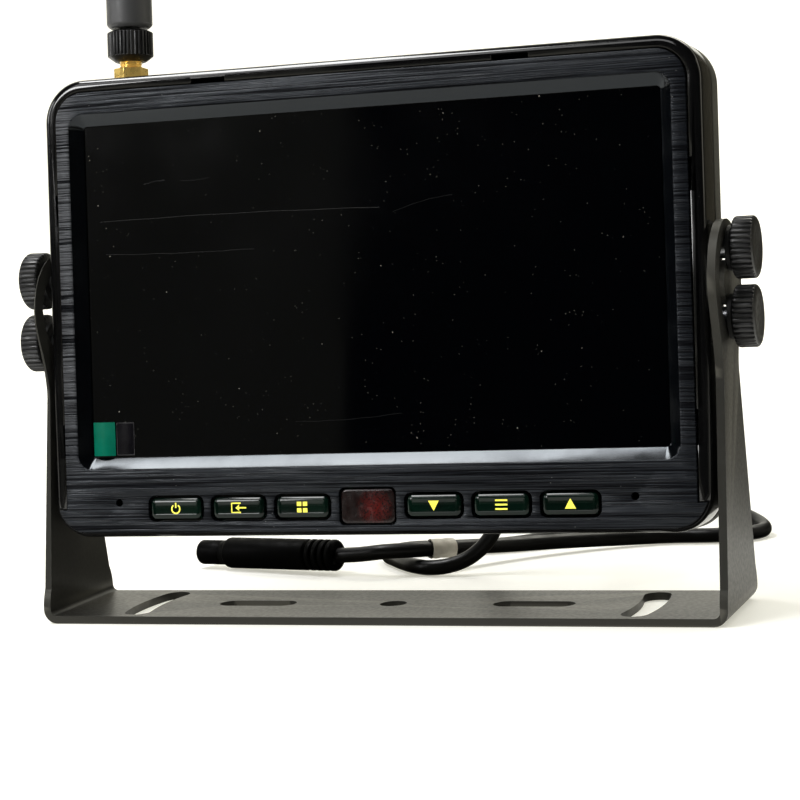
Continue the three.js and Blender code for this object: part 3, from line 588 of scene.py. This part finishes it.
def build(
    name,
    shell,
    body,
    finish,
    place=MONITOR,
    stands_for=(),
    angle=32,
    cutters=(),
):
    """Turns a shell into a piece of the object."""
    bmesh.ops.remove_doubles(shell.mesh, verts=shell.mesh.verts, dist=0.002)
    bmesh.ops.recalc_face_normals(shell.mesh, faces=shell.mesh.faces)
    shell.mesh.transform(place)
    piece = added(name, shell.finished(name), FINISHES[finish])
    for cutter in cutters:
        cut_away(piece, cutter, place)
    smoothed(piece, angle)
    if body:
        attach(piece, body)
    if stands_for:
        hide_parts(*stands_for)
    return piece


def refined(node, body, finish, edge, segments=2, limit=28):
    """A CAD node's own shape with its sharp edges softened."""
    shell = bmesh.new()
    shell.from_mesh(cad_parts[node].data)
    bmesh.ops.remove_doubles(shell, verts=shell.verts, dist=1e-6)
    bmesh.ops.dissolve_limit(
        shell, angle_limit=math.radians(1.5), verts=shell.verts, edges=shell.edges
    )
    mesh = bpy.data.meshes.new(f"{node}_look")
    shell.to_mesh(mesh)
    shell.free()
    piece = added(f"{node}_look", mesh, FINISHES[finish])
    soften = piece.modifiers.new("soften", "BEVEL")
    soften.width = edge * MM
    soften.segments = segments
    soften.limit_method = "ANGLE"
    soften.angle_limit = math.radians(limit)
    applied(piece)
    smoothed(piece, 40)
    weigh = piece.modifiers.new("weigh", "WEIGHTED_NORMAL")
    weigh.weight = 80
    weigh.keep_sharp = True
    applied(piece)
    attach(piece, body)
    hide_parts(node)


# ---------- Power lead ----------

LEAD_RADIUS = 2.15
LABEL_START = 0.911
LABEL_END = 0.9295
LABEL_BORE = LEAD_RADIUS + 0.25
LABEL_RADIUS = LEAD_RADIUS + 0.6
PLUG_REAR = Vector((-35.2, 45, 5.45))
PLUG_TIP = Vector((-82.9, 57.7, 4.5))
PLUG_WAY = (PLUG_TIP - PLUG_REAR).normalized()
RELIEF_END = Vector((22, 33.3, 0))
LEAD_ROUTE = [
    (22, 34, 76.9),
    (22, 43, 73.6),
    (21.8, 49.3, 66.5),
    (21.5, 51.8, 56.5),
    (20.3, 51.6, 45),
    (18, 50, 32.5),
    (14.4, 47.6, 20),
    (9.7, 45.6, 9.8),
    (4.4, 44.2, 5),
    (-1.1, 43, 2.9),
    (-6.9, 42.8, 2.2),
    (-12.6, 45.8, 2.2),
    (-17.6, 50.9, 2.2),
    (-22.3, 56.8, 2.2),
    (-26.4, 62.6, 2.2),
    (-27.8, 69.2, 2.2),
    (-24, 74.8, 2.2),
    (-16.2, 76.8, 2.2),
    (-6, 77.6, 2.2),
    (6.5, 82.4, 2.4),
    (18, 90, 3.4),
    (30, 101, 5.6),
    (42, 111, 7.4),
    (54, 118, 7.2),
    (64, 119, 5.2),
    (72, 112.6, 3.2),
    (75, 105, 2.2),
    (71.6, 98.4, 2.2),
    (63.4, 95.2, 2.2),
    (50, 94.2, 2.2),
    (35.8, 88.2, 2.6),
    (21.2, 78.4, 3.5),
    (8, 66.2, 4.6),
    (-2.7, 53.8, 6.1),
    (-11, 44.9, 7),
    (-20, 41.8, 7),
    (-27.6, 42.9, 6.1),
]


def smooth_line(points, per_span=8):
    """A centripetal Catmull-Rom curve through points, as an even run of points."""
    points = [np.array(p, float) for p in points]
    points = [2 * points[0] - points[1], *points, 2 * points[-1] - points[-2]]
    line = []
    for a, b, c, d in zip(points, points[1:], points[2:], points[3:]):
        spans = (b - a, c - b, d - c)
        t0, t1, t2 = (max(np.linalg.norm(span), 1e-6) ** 0.5 for span in spans)
        m1 = ((b - a) / t0 - (c - a) / (t0 + t1) + (c - b) / t1) * t1
        m2 = ((c - b) / t1 - (d - b) / (t1 + t2) + (d - c) / t2) * t1
        for t in np.linspace(0, 1, per_span, endpoint=False):
            line.append(
                (2 * t**3 - 3 * t**2 + 1) * b
                + (t**3 - 2 * t**2 + t) * m1
                + (3 * t**2 - 2 * t**3) * c
                + (t**3 - t**2) * m2
            )
    line.append(points[-2])
    return np.array(line)


def tube(shell, line, radius, sides=20, bore=None):
    """A round tube along a line, or a sleeve when it has a bore."""
    ways = np.gradient(line, axis=0)
    ways /= np.linalg.norm(ways, axis=1)[:, None]
    normal = np.cross(ways[0], (1, 0, 0))
    rings = {radius: [], bore: []}
    for point, way in zip(line, ways):
        normal = normal - way * normal.dot(way)
        normal /= np.linalg.norm(normal)
        side = np.cross(way, normal)
        for reach in rings:
            if reach:
                rings[reach].append(
                    [
                        tuple(point + reach * (math.cos(a) * normal + math.sin(a) * side))
                        for a in np.linspace(0, 2 * math.pi, sides, endpoint=False)
                    ]
                )
    if bore:
        loops = rings[radius] + rings[bore][::-1]
        shell.loft(loops + loops[:1])
    else:
        shell.loft(rings[radius], cap_first=True, cap_last=True)


LEAD_START = (MONITOR @ RELIEF_END) / MM
LEAD_LINE = smooth_line([tuple(LEAD_START), *LEAD_ROUTE, tuple(PLUG_REAR - PLUG_WAY * 0.3)])


def make_label(along):
    """The paper label wrapped round the lead, a little creased."""
    shell = Shell()
    stretch = np.linspace(LABEL_START, LABEL_END, 14) * along[-1]
    middle = np.stack([np.interp(stretch, along, LEAD_LINE[:, k]) for k in range(3)], axis=1)
    tube(shell, middle, LABEL_RADIUS, 28, LABEL_BORE)
    for vert in shell.mesh.verts:
        wave = math.sin(vert.co.x * 2.1 + vert.co.z * 3.3) + math.sin(vert.co.y * 2.7)
        vert.co.z += 0.05 * wave
    return build(
        "label_wrap", shell, "bracket", "label_white", STANDING, ["lead_label"]
    )


def make_plug():
    """The plug's ridged grip and its barrel, with one contact inside."""
    turn = Vector((0, 0, 1)).rotation_difference(PLUG_WAY).to_matrix().to_4x4()
    place = STANDING @ Matrix.Translation(PLUG_REAR) @ turn
    profile = [(0.02, 0), (3.1, 0), (3.6, 0.1), (4.1, 0.4)]
    for ridge in range(4):
        start = 0.9 + ridge * 2.35
        profile += [
            (4.4, start - 0.15),
            (4.5, start + 0.1),
            (4.5, start + 0.95),
            (4.35, start + 1.2),
            (3.7, start + 1.45),
            (3.5, start + 1.6),
            (3.5, start + 1.85),
            (3.7, start + 2.05),
        ]
    profile += [(4.35, 10.3), (4.5, 10.6), (4.5, 38.2), (4.38, 38.9)]
    profile += [(3.95, 39.4), (3.6, 39.5), (0.02, 39.5)]
    shell = Shell()
    shell.turned(profile, 48)
    grip = build("plug_grip", shell, "bracket", "plug_pvc", place, ["plug_body"], 50)
    profile = [(0.02, 39.7), (3.6, 39.7), (3.6, 41.2), (3.45, 41.4), (3.45, 41.7), (3.6, 41.9)]
    profile += [(3.6, 48.8), (3.45, 49.2), (3.2, 49.4), (2.8, 49.4), (2.7, 49.2), (2.7, 41.3)]
    profile += [(0.8, 41.3), (0.8, 47.4), (0.5, 48), (0.02, 48.2)]
    shell = Shell()
    shell.turned(profile, 48)
    nose = build("plug_barrel", shell, "bracket", "plug_pvc", place, ["plug_nose"], 40)
    return [grip, nose]


def make_lead():
    steps = np.linalg.norm(np.diff(LEAD_LINE, axis=0), axis=1)
    along = np.concatenate([[0], np.cumsum(steps)])
    shell = Shell()
    tube(shell, LEAD_LINE, LEAD_RADIUS)
    lead = build("lead_jacket", shell, None, "lead_pvc", STANDING, ["power_lead"])
    label = make_label(along)
    plug = make_plug()
    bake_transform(lead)


make_lead()


# ---------- Housing ----------

HALF_WIDTH = 88
HALF_HEIGHT = 60
CORNER_LOW = 9.5
CORNER_HIGH = 11
FRAME_FRONT = -9.9
FASCIA_FRONT = -10.4
FASCIA_BACK = -7.2
COVER_BACK = 15.6
COVER_INSIDE = 13.4
KEY_Z = -52.65
ANTENNA_X = -70.5
ANTENNA_Y = 7.6
KEY_PLACES = {
    "power": -52.8,
    "source": -35.2,
    "channel": -17.6,
    "down": 17.6,
    "menu": 35.2,
    "up": 52.8,
}


def housing(distance):
    """The housing's outline, moved inwards by a distance."""
    low, high = max(CORNER_LOW - distance, 0.6), max(CORNER_HIGH - distance, 0.6)
    wide, tall = HALF_WIDTH - distance, HALF_HEIGHT - distance
    return rounded(-wide, wide, -tall, tall, low, high, 14)


def fascia_outline(grow, notches=0.0):
    """The fascia's edge. Notches are cut into the frame round it, to lever its clips."""
    wide, narrow = 86.9 + grow, 84.3 + grow
    low, step, top = -58.9 - grow, -52.8 + grow, 56.5 + grow
    corner_low, corner_high = 8.5 + grow, 7.5 + grow
    shoulder = math.degrees(math.asin((low + corner_low - step) / corner_low))
    right = [(narrow, step)]
    for bottom, height in ((-39, 8.6), (22, 8)):
        right += [
            (narrow, bottom),
            (narrow + notches, bottom + 0.01),
            (narrow + notches, bottom + height),
            (narrow, bottom + height + 0.01),
        ]
    roof = []
    for middle in (40.5, -40.5):
        roof += [
            (middle + 4.7, top),
            (middle + 4.69, top + notches),
            (middle - 4.69, top + notches),
            (middle - 4.7, top),
        ]
    left = [(-x, z) for x, z in reversed(right)]
    return [
        *arc(wide - corner_low, low + corner_low, corner_low, -90, -shoulder, 12),
        *right,
        *arc(narrow - corner_high, top - corner_high, corner_high, 0, 90, 12),
        *roof,
        *arc(-narrow + corner_high, top - corner_high, corner_high, 90, 180, 12),
        *left,
        *arc(-wide + corner_low, low + corner_low, corner_low, 180 + shoulder, 270, 12),
    ]


def box_cutter(low, high):
    shell = Shell()
    outline = [(low[0], low[2]), (high[0], low[2]), (high[0], high[2]), (low[0], high[2])]
    shell.loft([facing(outline, low[1]), facing(outline, high[1])], cap_first=True, cap_last=True)
    return shell


def insert_pockets(front, back):
    """Room in the side walls for the thumb screws' inserts."""
    return [
        box_cutter((82, front, -14.3), (89, back, 14.3)),
        box_cutter((-89, front, -14.3), (-82, back, 14.3)),
    ]


def make_frame():
    shell = Shell()
    outside = [(2.4, 1.6), (0.2, 1.6), (0, 1.4), (0, -7.9)]
    outside += [(2 - x, -7.9 - y) for x, y in arc(0, 0, 2, 11.25, 90, 7)]
    rows = shell.loft([facing(housing(d), y) for d, y in outside])
    inner = shell.soft_hole(fascia_outline(0.3, 1.3), FRAME_FRONT, -6.9)
    shell.fill([rows[-1], inner[0]])
    lining = [(3.4, -6.9), (2.4, -6.4), (2.4, 1.6)]
    wall = shell.loft([facing(housing(d), y) for d, y in lining])
    shell.fill([inner[-1], wall[0]])
    build(
        "frame_shell",
        shell,
        "monitor",
        "frame_gloss",
        stands_for=["front_frame"],
        cutters=insert_pockets(-6.7, 3),
    )


make_frame()


def centred(x, z, width, height, corner, steps=6):
    wide, tall = width / 2, height / 2
    return rounded(x - wide, x + wide, z - tall, z + tall, corner, None, steps)


def window(outset):
    """The outline of the screen's window, moved outwards by a distance."""
    wide = 77.5 + outset
    return rounded(-wide, wide, -39.25 - outset, 47.75 + outset, 1 + outset, None, 8)


def make_fascia():
    shell = Shell()
    outline = fascia_outline(0)
    front, back = FASCIA_FRONT, FASCIA_BACK
    edge = [(0, back), (0, front + 0.3), (0.09, front + 0.09), (0.3, front)]
    rows = shell.loft([facing(inset(outline, d), y) for d, y in edge])
    lip = [(3.4, front), (3.2, front + 0.03), (3.05, front + 0.12)]
    mouth = shell.loft([facing(window(d), y) for d, y in lip])
    cuts = [centred(x, KEY_Z, 15.6, 6.8, 2) for x in KEY_PLACES.values()]
    cuts.append(centred(0, KEY_Z, 15.2, 9.5, 1.4))
    cuts += [centred(x, -51, 1.9, 1.9, 0.94) for x in (-69, 69)]
    rings = [shell.soft_hole(hole, front, back) for hole in cuts]
    shell.fill([rows[-1], mouth[0], *(ring[0] for ring in rings)])
    build(
        "fascia_plate",
        shell,
        "monitor",
        "fascia_brushed",
        stands_for=["fascia"],
    )

    shell = Shell()
    slope = [(3.05, front + 0.12), (2.9, front + 0.3), (0.3, front + 2.5)]
    slope += [(0.1, front + 2.62), (0, front + 2.8), (0, back), (1.5, back)]
    shell.loft([facing(window(d), y) for d, y in slope])
    build("window_bevel", shell, "monitor", "window_gloss", angle=25)


make_fascia()


def make_rear_cover():
    shell = Shell()
    outside = [(2.5, 2.9), (0.3, 2.9), (0.08, 3.0), (0, 3.2), (0, 8.8), (0.12, 9.4), (0.5, 9.95)]
    outside += [(8.3, 15.1), (8.9, 15.4), (9.6, 15.6)]
    rows = shell.loft([facing(housing(d), y) for d, y in outside])
    slots = []
    for row in range(4):
        for left, right in ((-56, -26), (-18, 18), (26, 56)):
            slots.append(rounded(left, right, 14 + 6 * row, 16.2 + 6 * row, 1, None, 4))
    for row in range(-2, 3):
        half = 9 - abs(row) * 1.8
        low, high = -26.7 + row * 3.4, -25.3 + row * 3.4
        slots.append(rounded(52 - half, 52 + half, low, high, 0.65, None, 4))
    slots.append([(22 + 3.8 * x, 3.8 * z) for x, z in arc(0, 0, 1, 0, 337.5, 15)])
    rings = [shell.soft_hole(slot, COVER_BACK, COVER_INSIDE, 0.2) for slot in slots]
    shell.fill([rows[-1], *(ring[0] for ring in rings)])
    lining = [(11.8, COVER_INSIDE), (2.6, 8.9), (2.2, 8.4), (2.2, 4.4), (2.5, 2.9)]
    shell.loft([facing(housing(d), y) for d, y in lining])
    tongue = [(2.7, 3.2), (2.7, -0.3), (4.6, -0.3), (4.6, 4.4)]
    shell.loft([facing(housing(d), y) for d, y in tongue])
    build(
        "cover_shell",
        shell,
        "monitor",
        "cover_satin",
        stands_for=["rear_cover"],
    )


make_rear_cover()


def make_pedestal():
    """The boss at the cover's top that the antenna's jack stands on."""
    shell = Shell()
    outline = rounded(-77.5, -63.5, 2.9, 13.6, 1.2, None, 5)
    hole = [(ANTENNA_X + 3.3 * x, ANTENNA_Y + 3.3 * y) for x, y in arc(0, 0, 1, 0, 345, 23)]
    shell.plate(outline, 50, 60.05, 0.3, level, [hole])
    build("antenna_seat", shell, "monitor", "cover_satin")


make_pedestal()


# ---------- Screen ----------


def make_film():
    """The clear film over the screen, slightly rippled and lifted at its border."""
    shell = Shell()
    columns, rows = 78, 44
    width, height = 77.2, 43.2
    grid = []
    for j in range(rows + 1):
        line = []
        for i in range(columns + 1):
            u, v = 2 * i / columns - 1, 2 * j / rows - 1
            lift = 0.05 * max(abs(u), abs(v)) ** 14
            ripple = 0.012 * math.sin(5 * u + 2 * v) * math.cos(3.1 * v - u)
            line.append((width * u, -7.42 - lift + ripple, 4.25 + height * v))
        grid.append(line)
    border = rim_of(shell.loft(grid, closed=False))
    back = shell.loop([(v.co.x, -7.22, v.co.z) for v in border])
    shell.bridge(border, back)
    shell.fill([back])
    build(
        "film_sheet",
        shell,
        "monitor",
        "clear_film",
        stands_for=["screen_film"],
        angle=40,
    )


def make_tab():
    """The bowed green tab at the film's corner, and its dark tail with a pale painted-highlight
    rim.
    """
    shell = Shell()
    left, low = -77, -38.75
    strip = []
    for step in range(13):
        share = step / 12
        curl = 0.35 * max(0, share - 0.55) ** 2
        line = []
        for u in np.linspace(0, 1, 16):
            bulge = 0.75 * math.sin(math.pi * u)
            line.append((left + 6.2 * u, -7.75 - curl - bulge, low + 8.8 * share))
        strip.append(line)
    front = shell.loft(strip, closed=False)
    back = shell.loft([[(x, y - 0.2, z) for x, y, z in line] for line in strip], closed=False)
    shell.bridge(rim_of(front), rim_of(back))
    build(
        "tab_strip",
        shell,
        "monitor",
        "tab_green",
        stands_for=["pull_tab"],
        angle=40,
    )

    def tail(d):
        return rounded(-70.6 + d, -65.4 - d, -38.7 + d, -30.1 - d, 0.3, 0.3, 3)

    shell = Shell()
    shell.plate(tail(0), -7.62, -7.5, 0.04)
    build("tab_tail", shell, "monitor", "tail_film")
    # The rim round the tail is painted pale as a highlight on the film's edge.
    shell = Shell()
    shell.loft([facing(tail(0.02), -7.63), facing(tail(0.2), -7.63)])
    build("tab_tail_highlight_rim", shell, "monitor", "tail_highlight_rim")


def make_scratches():
    """Fine scratches on the film, each a line that sags a little."""
    shell = Shell()
    for start, end, sag, width in (
        ((-73.5, 22.6), (4.5, 22.4), 0.5, 0.16),
        ((-72, 14), (-30, 13.6), -0.3, 0.12),
        ((-60.5, 31.8), (-54.5, 32.6), 0.2, 0.16),
        ((-50, 32.2), (-42, 32.5), -0.2, 0.08),
        ((8, 21), (24, 24.5), 0.6, 0.07),
        ((-20, -31), (9, -29.5), -0.5, 0.07),
    ):
        line = []
        for t in np.linspace(0, 1, 25):
            bow = sag * math.sin(math.pi * t) + 0.06 * math.sin(23 * t)
            x = start[0] + (end[0] - start[0]) * t
            z = start[1] + (end[1] - start[1]) * t + bow
            line.append((x, z))
        for quad in stroke(line, width):
            shell.mesh.faces.new(shell.loop(facing(quad, -7.5)))
    build("film_scratches", shell, "monitor", "scratch")


make_film()
make_tab()
make_scratches()


# ---------- Keys ----------

LEGEND_SCALE = 1.08


def legend(name):
    """The outlines of a key's symbol, centred on its cap."""
    if name == "power":
        ring = stroke(arc(0, -0.1, 1.05, 125, 415, 20), 0.34)
        return ring + stroke([(0, 0.15), (0, 1.4)], 0.34)
    if name == "source":
        frame_line = [(0.6, -1.1), (-1.7, -1.1), (-1.7, 1.1), (0.6, 1.1)]
        arrow = stroke([(2.0, 0), (0.1, 0)], 0.34) + [[(-0.75, 0), (0.2, -0.75), (0.2, 0.75)]]
        return stroke(frame_line, 0.34) + arrow
    if name == "channel":
        squares = [(-0.75, -0.75), (0.75, -0.75), (0.75, 0.75), (-0.75, 0.75)]
        corners = [(-0.55, -0.5), (0.55, -0.5), (0.55, 0.5), (-0.55, 0.5)]
        return [[(x + u, z + v) for u, v in corners] for x, z in squares]
    if name == "menu":
        bars = [stroke([(-1.45, z), (1.45, z)], 0.38) for z in (-1.0, 0, 1.0)]
        return [quad for bar in bars for quad in bar]
    way = 1 if name == "up" else -1
    return [[(-1.3, -1.1 * way), (1.3, -1.1 * way), (0, 1.25 * way)]]


def make_keys():
    for name, x in KEY_PLACES.items():
        body = f"key_{name}"
        shell = Shell()
        cap = centred(x, KEY_Z, 14.2, 5.4, 1.4, 8)
        flange = centred(x, KEY_Z, 16.6, 7.8, 1.4, 8)
        sides = [(flange, 0, -6.1), (flange, 0, -6.9), (cap, 0, -6.9), (cap, 0, -9.75)]
        sides += [(cap, 0.05, -10.0), (cap, 0.15, -10.25), (cap, 0.5, -10.52)]
        sides += [(cap, 0.7, -10.61), (cap, 1.0, -10.66), (cap, 1.15, -10.6), (cap, 1.3, -10.56)]
        shell.loft([facing(inset(o, d), y) for o, d, y in sides], cap_first=True, cap_last=True)
        build(
            f"cap_{name}",
            shell,
            body,
            "key_gloss",
            stands_for=[body],
            angle=26,
        )
        shell = Shell()
        for outline in legend(name):
            points = [(x + LEGEND_SCALE * u, KEY_Z + LEGEND_SCALE * v) for u, v in outline]
            ends = [facing(points, -10.5), facing(points, -10.6)]
            shell.loft(ends, cap_first=True, cap_last=True)
        build(f"legend_{name}", shell, body, "legend_yellow")

    shell = Shell()
    pane = centred(0, KEY_Z, 14.3, 8.6, 1.5, 8)
    sides = [(0, -6.2), (0, -9.75), (0.08, -9.95), (0.3, -10.05), (0.6, -10.07), (1.2, -10.08)]
    shell.loft([facing(inset(pane, d), y) for d, y in sides], cap_first=True, cap_last=True)
    build(
        "eye_pane",
        shell,
        "monitor",
        "infrared_red",
        stands_for=["infrared_window"],
        angle=26,
    )


make_keys()


# ---------- Bracket, inserts, washers and knobs ----------

refined("bracket", "bracket", "powder_coat", 0.35, 3, limit=30)


def make_knobs():
    def ribs(i, radius, height):
        return 0 if radius < 7.1 or height > 98.1 else groove(i, 0.38, 0.7)

    profile = [(0.02, 93), (6.6, 93), (7.1, 93.1), (7.45, 93.35), (7.6, 93.7), (7.6, 97.7)]
    profile += [(7.5, 98.0), (7.3, 98.2), (7.0, 98.4), (6.5, 98.5), (5.2, 98.6), (4.9, 98.55)]
    profile += [(0.02, 98.5)]
    for hand, turn in (("left", math.pi), ("right", 0)):
        for row, z in (("upper", 8.3), ("lower", -8.3)):
            body = f"knob_{hand}_{row}"
            shell = Shell()
            shell.turned(profile, 216, ribs)
            shell.moved(Matrix.Rotation(math.pi / 2, 4, "Y"))
            shell.moved(Matrix.Rotation(turn, 4, "Z"))
            shell.moved(Matrix.Translation((0, 0, z)))
            build(
                f"{body}_wheel",
                shell,
                body,
                "knob_grey",
                stands_for=[body],
                angle=30,
            )
            refined(f"screw_{hand}_{row}", body, "steel", 0.3)
            refined(f"washer_{hand}_{row}", "monitor", "rubber", 0.2)
        refined(f"side_insert_{hand}", "monitor", "cover_satin", 0.3)


make_knobs()


# ---------- Antenna ----------

ELBOW_Z = 92.5
ANTENNA = MONITOR @ Matrix.Translation((ANTENNA_X, ANTENNA_Y, 0))


def make_jack():
    shell = Shell()
    profile = [(0.02, 46.5), (4.2, 46.5), (4.4, 46.7), (4.4, 49.5), (4.2, 49.7), (3.0, 49.7)]
    profile += [(3.0, 60.5)]
    height = 60.5
    while height < 69.2:
        profile += [(3.0, height + 0.1), (2.72, height + 0.35)]
        profile += [(2.72, height + 0.45), (3.0, height + 0.7)]
        height += 0.7
    profile += [(2.7, 69.9), (2.4, 70), (0.02, 70)]
    shell.turned(profile, 40)
    build(
        "jack_thread", shell, "monitor", "gold_plate", ANTENNA, ["antenna_jack"], 25
    )
    refined("jack_washer", "monitor", "gold_plate", 0.12)
    refined("jack_nut", "monitor", "gold_plate", 0.35, 3)


def make_collar():
    def knurl(i, radius, height):
        return groove(i, 0.3, 0.8) if 67.6 < height < 73.9 else 0

    shell = Shell()
    profile = [(3.4, 66.1), (3.9, 66.1), (4.2, 66.2), (5.8, 67.4), (6.05, 67.6), (6.1, 67.8)]
    profile += [(6.1, 73.7), (6.0, 73.95), (5.7, 74.1), (5.1, 74.4), (4.7, 74.5), (2.9, 74.5)]
    profile += [(2.9, 71.2), (3.4, 71.2), (3.4, 66.1)]
    shell.turned(profile, 216, knurl, capped=False)
    build(
        "collar_knurl",
        shell,
        "antenna_collar",
        "knob_grey",
        ANTENNA,
        ["antenna_collar"],
        30,
    )


def make_whip():
    shell = Shell()
    profile = [(0.02, 99.7), (5.3, 99.7), (5.75, 99.9), (6.05, 100.3), (6.1, 100.8), (5.9, 118)]
    profile += [(4.95, 171), (4.8, 172.2), (4.3, 173.7), (3.5, 174.6), (2.4, 175), (0.02, 175)]
    shell.turned(profile, 64)
    under = np.linspace(math.pi, 2 * math.pi, 24)
    outline = [(5.6 * math.cos(a), ELBOW_Z + 5.6 * math.sin(a)) for a in under]
    outline += [(5.6, 100), (-5.6, 100)]
    pin_hole = [(1.8 * x, ELBOW_Z + 1.8 * z) for x, z in arc(0, 0, 1, 0, 345, 23)]
    shell.plate(outline, -2.95, 2.95, 0.3, sideways, [pin_hole])
    build(
        "whip_sleeve",
        shell,
        "antenna_whip",
        "antenna_grey",
        ANTENNA,
        ["antenna_whip"],
        35,
    )


make_jack()
make_collar()
refined("antenna_base", "antenna_base", "antenna_grey", 0.35, 3, limit=35)
refined("elbow_pin", "antenna_base", "steel", 0.2)
make_whip()


def make_relief():
    """The lead's grommet and its tapered, ribbed strain relief."""
    shell = Shell()
    profile = [(0.02, 11), (4.8, 11), (5, 11.2), (5, 12.9), (4.8, 13.1), (3.5, 13.1), (3.5, 15.9)]
    profile += [(5.3, 15.9), (5.5, 16.1), (5.5, 17.3), (5.2, 17.6), (4.3, 17.9)]
    for ring in range(6):
        start = 18.6 + ring * 2.3
        radius = 3.95 - ring * 0.19
        profile += [(radius, start), (radius, start + 1.2)]
        profile += [(radius - 0.5, start + 1.4), (radius - 0.5, start + 2.1)]
    profile += [(2.8, 32.6), (2.6, 33), (2.2, 33), (0.02, 32.9)]
    shell.turned(profile, 40)
    shell.moved(Matrix.Rotation(-math.pi / 2, 4, "X"))
    shell.moved(Matrix.Translation((22, 0, 0)))
    build(
        "relief_sleeve",
        shell,
        "monitor",
        "rubber",
        stands_for=["lead_grommet"],
        angle=40,
    )


make_relief()


# ---------- Pieces inside the housing ----------

for number in range(1, 5):
    refined(f"cover_screw_{number}", "monitor", "steel", 0.15)
for node, finish, edge in (
    ("lcd_panel", "screen_glass", 0.4),
    ("key_board", "board", 0.1),
    ("main_board", "board", 0.15),
    ("radio_can", "zinc", 0.3),
    ("speaker", "cone_black", 0.4),
    ("infrared_receiver", "plug_pvc", 0.3),
):
    refined(node, "monitor", finish, edge)
for name in KEY_PLACES:
    refined(f"switch_{name}", "monitor", "switch_grey", 0.15)


# ---------- Studio ----------


def bend(start, radius):
    """A profile's quarter turn from level to upright."""
    angles = np.radians(range(5, 91, 5))
    return [(start + radius * math.sin(a), radius - radius * math.cos(a)) for a in angles]


def make_floor():
    """A pale floor that rises behind the object, brighter towards the back."""
    paper = Finish("floor_paper", (0.62, 0.62, 0.62), 0.6, specular=0.2)
    paper.rough(paper.noise(40), 0.55, 0.7).glow((1, 0.975, 0.84), 0.44)
    brightness = paper.spread(paper.along("Y"), 0.44, 0.88, 0.25, 1.3)
    paper.link(brightness, paper.shader.inputs["Emission Strength"])
    shell = Shell()
    profile = [(-5, 0), (1.1, 0), *bend(1.1, 0.9), (2.0, 3.2)]
    rows = [[(x, y, z - 0.0001) for y, z in profile] for x in np.linspace(-6.5, 6.5, 14)]
    shell.loft(rows, closed=False)
    floor = added("floor", shell.finished("floor"), paper.material)
    smoothed(floor, 60)


def make_surround():
    """A wide pale bowl round the floor, seen only directly."""
    haze = Finish("surround_paper", (0.1, 0.1, 0.1), 0.9, specular=0)
    haze.rough(haze.noise(20), 0.85, 0.95).glow((1, 0.985, 0.94), 0.8)
    shell = Shell()
    shell.turned([(0.02, -0.002), (6.6, -0.002), *bend(6.6, 0.9), (7.5, 5)], 64)
    surround = added("surround", shell.finished("surround"), haze.material)
    smoothed(surround, 60)
    for ray in ("diffuse", "glossy", "transmission", "shadow"):
        setattr(surround, f"visible_{ray}", False)


def make_cards():
    """Dark boards that are seen only in reflections."""
    dark = Finish("dark_board", (0.042, 0.038, 0.027), 0.8, specular=0.1)
    dark.rough(dark.noise(60), 0.7, 0.9)
    behind = [(0.08, 0.95, 0.01), (1.2, 0.45, 0.01), (1.2, 0.45, 0.65), (0.08, 0.95, 0.65)]
    ground = [(-0.3, 0.02), (0.05, 0.02), (0.14, 0.16), (0.8, 0.94), (-0.1, 0.94)]
    before = [(-1, -1.2), (0.8, -1.2), (0.8, -0.2), (-1, -0.2)]
    for name, corners in (
        ("card_behind", behind),
        ("card_ground", level(ground, 0.0005)),
        ("card_before", level(before, 0.01)),
    ):
        mesh = bpy.data.meshes.new(name)
        mesh.from_pydata(corners, [], [range(len(corners))])
        card = added(name, mesh, dark.material)
        for ray in ("camera", "diffuse", "shadow"):
            setattr(card, f"visible_{ray}", False)


def softbox(name, place, aim, wide, tall, power, color=(1, 1, 1)):
    data = bpy.data.lights.new(name, "AREA")
    data.shape = "RECTANGLE"
    data.size = wide
    data.size_y = tall
    data.energy = power
    data.color = color
    lamp = added(name, data, None)
    lamp.location = place
    way = Vector(aim) - Vector(place)
    lamp.rotation_euler = way.to_track_quat("-Z", "Y").to_euler()
    lamp.visible_camera = False


def make_world():
    world = bpy.data.worlds.new("studio")
    world.use_nodes = True
    background = world.node_tree.nodes["Background"]
    background.inputs["Color"].default_value = (0.86, 0.88, 0.92, 1)
    background.inputs["Strength"].default_value = 0.005
    bpy.context.scene.world = world
    bpy.context.scene.view_settings.view_transform = "Standard"


make_floor()
make_surround()
softbox("overhead", (-0.46, -0.09, 1.2), (0, 0, 0.05), 0.8, 0.3, 14)
softbox("rear_top", (0.3, 0.9, 1.3), (0, 0.1, 0.05), 0.9, 0.5, 10, (1, 0.98, 0.88))
softbox("right_side", (1.15, 0.35, 0.5), (0, 0, 0.08), 0.7, 0.7, 1.6, (1, 0.96, 0.80))
softbox("top_front", (-0.3, -0.75, 0.95), (0, 0, 0.1), 0.9, 0.45, 3.5)
softbox("left_side", (-1.0, -0.35, 0.45), (-0.1, 0, 0.08), 0.3, 0.3, 1.8)
softbox("left_high", (-0.7, -1.1, 0.62), (-0.09, 0, 0.1), 0.34, 0.34, 7)
softbox("front_left", (-0.83, -1.4, 0.4), (-0.1, 0, 0.1), 0.56, 0.75, 0.15, (1, 0.99, 0.82))
make_cards()
make_world()
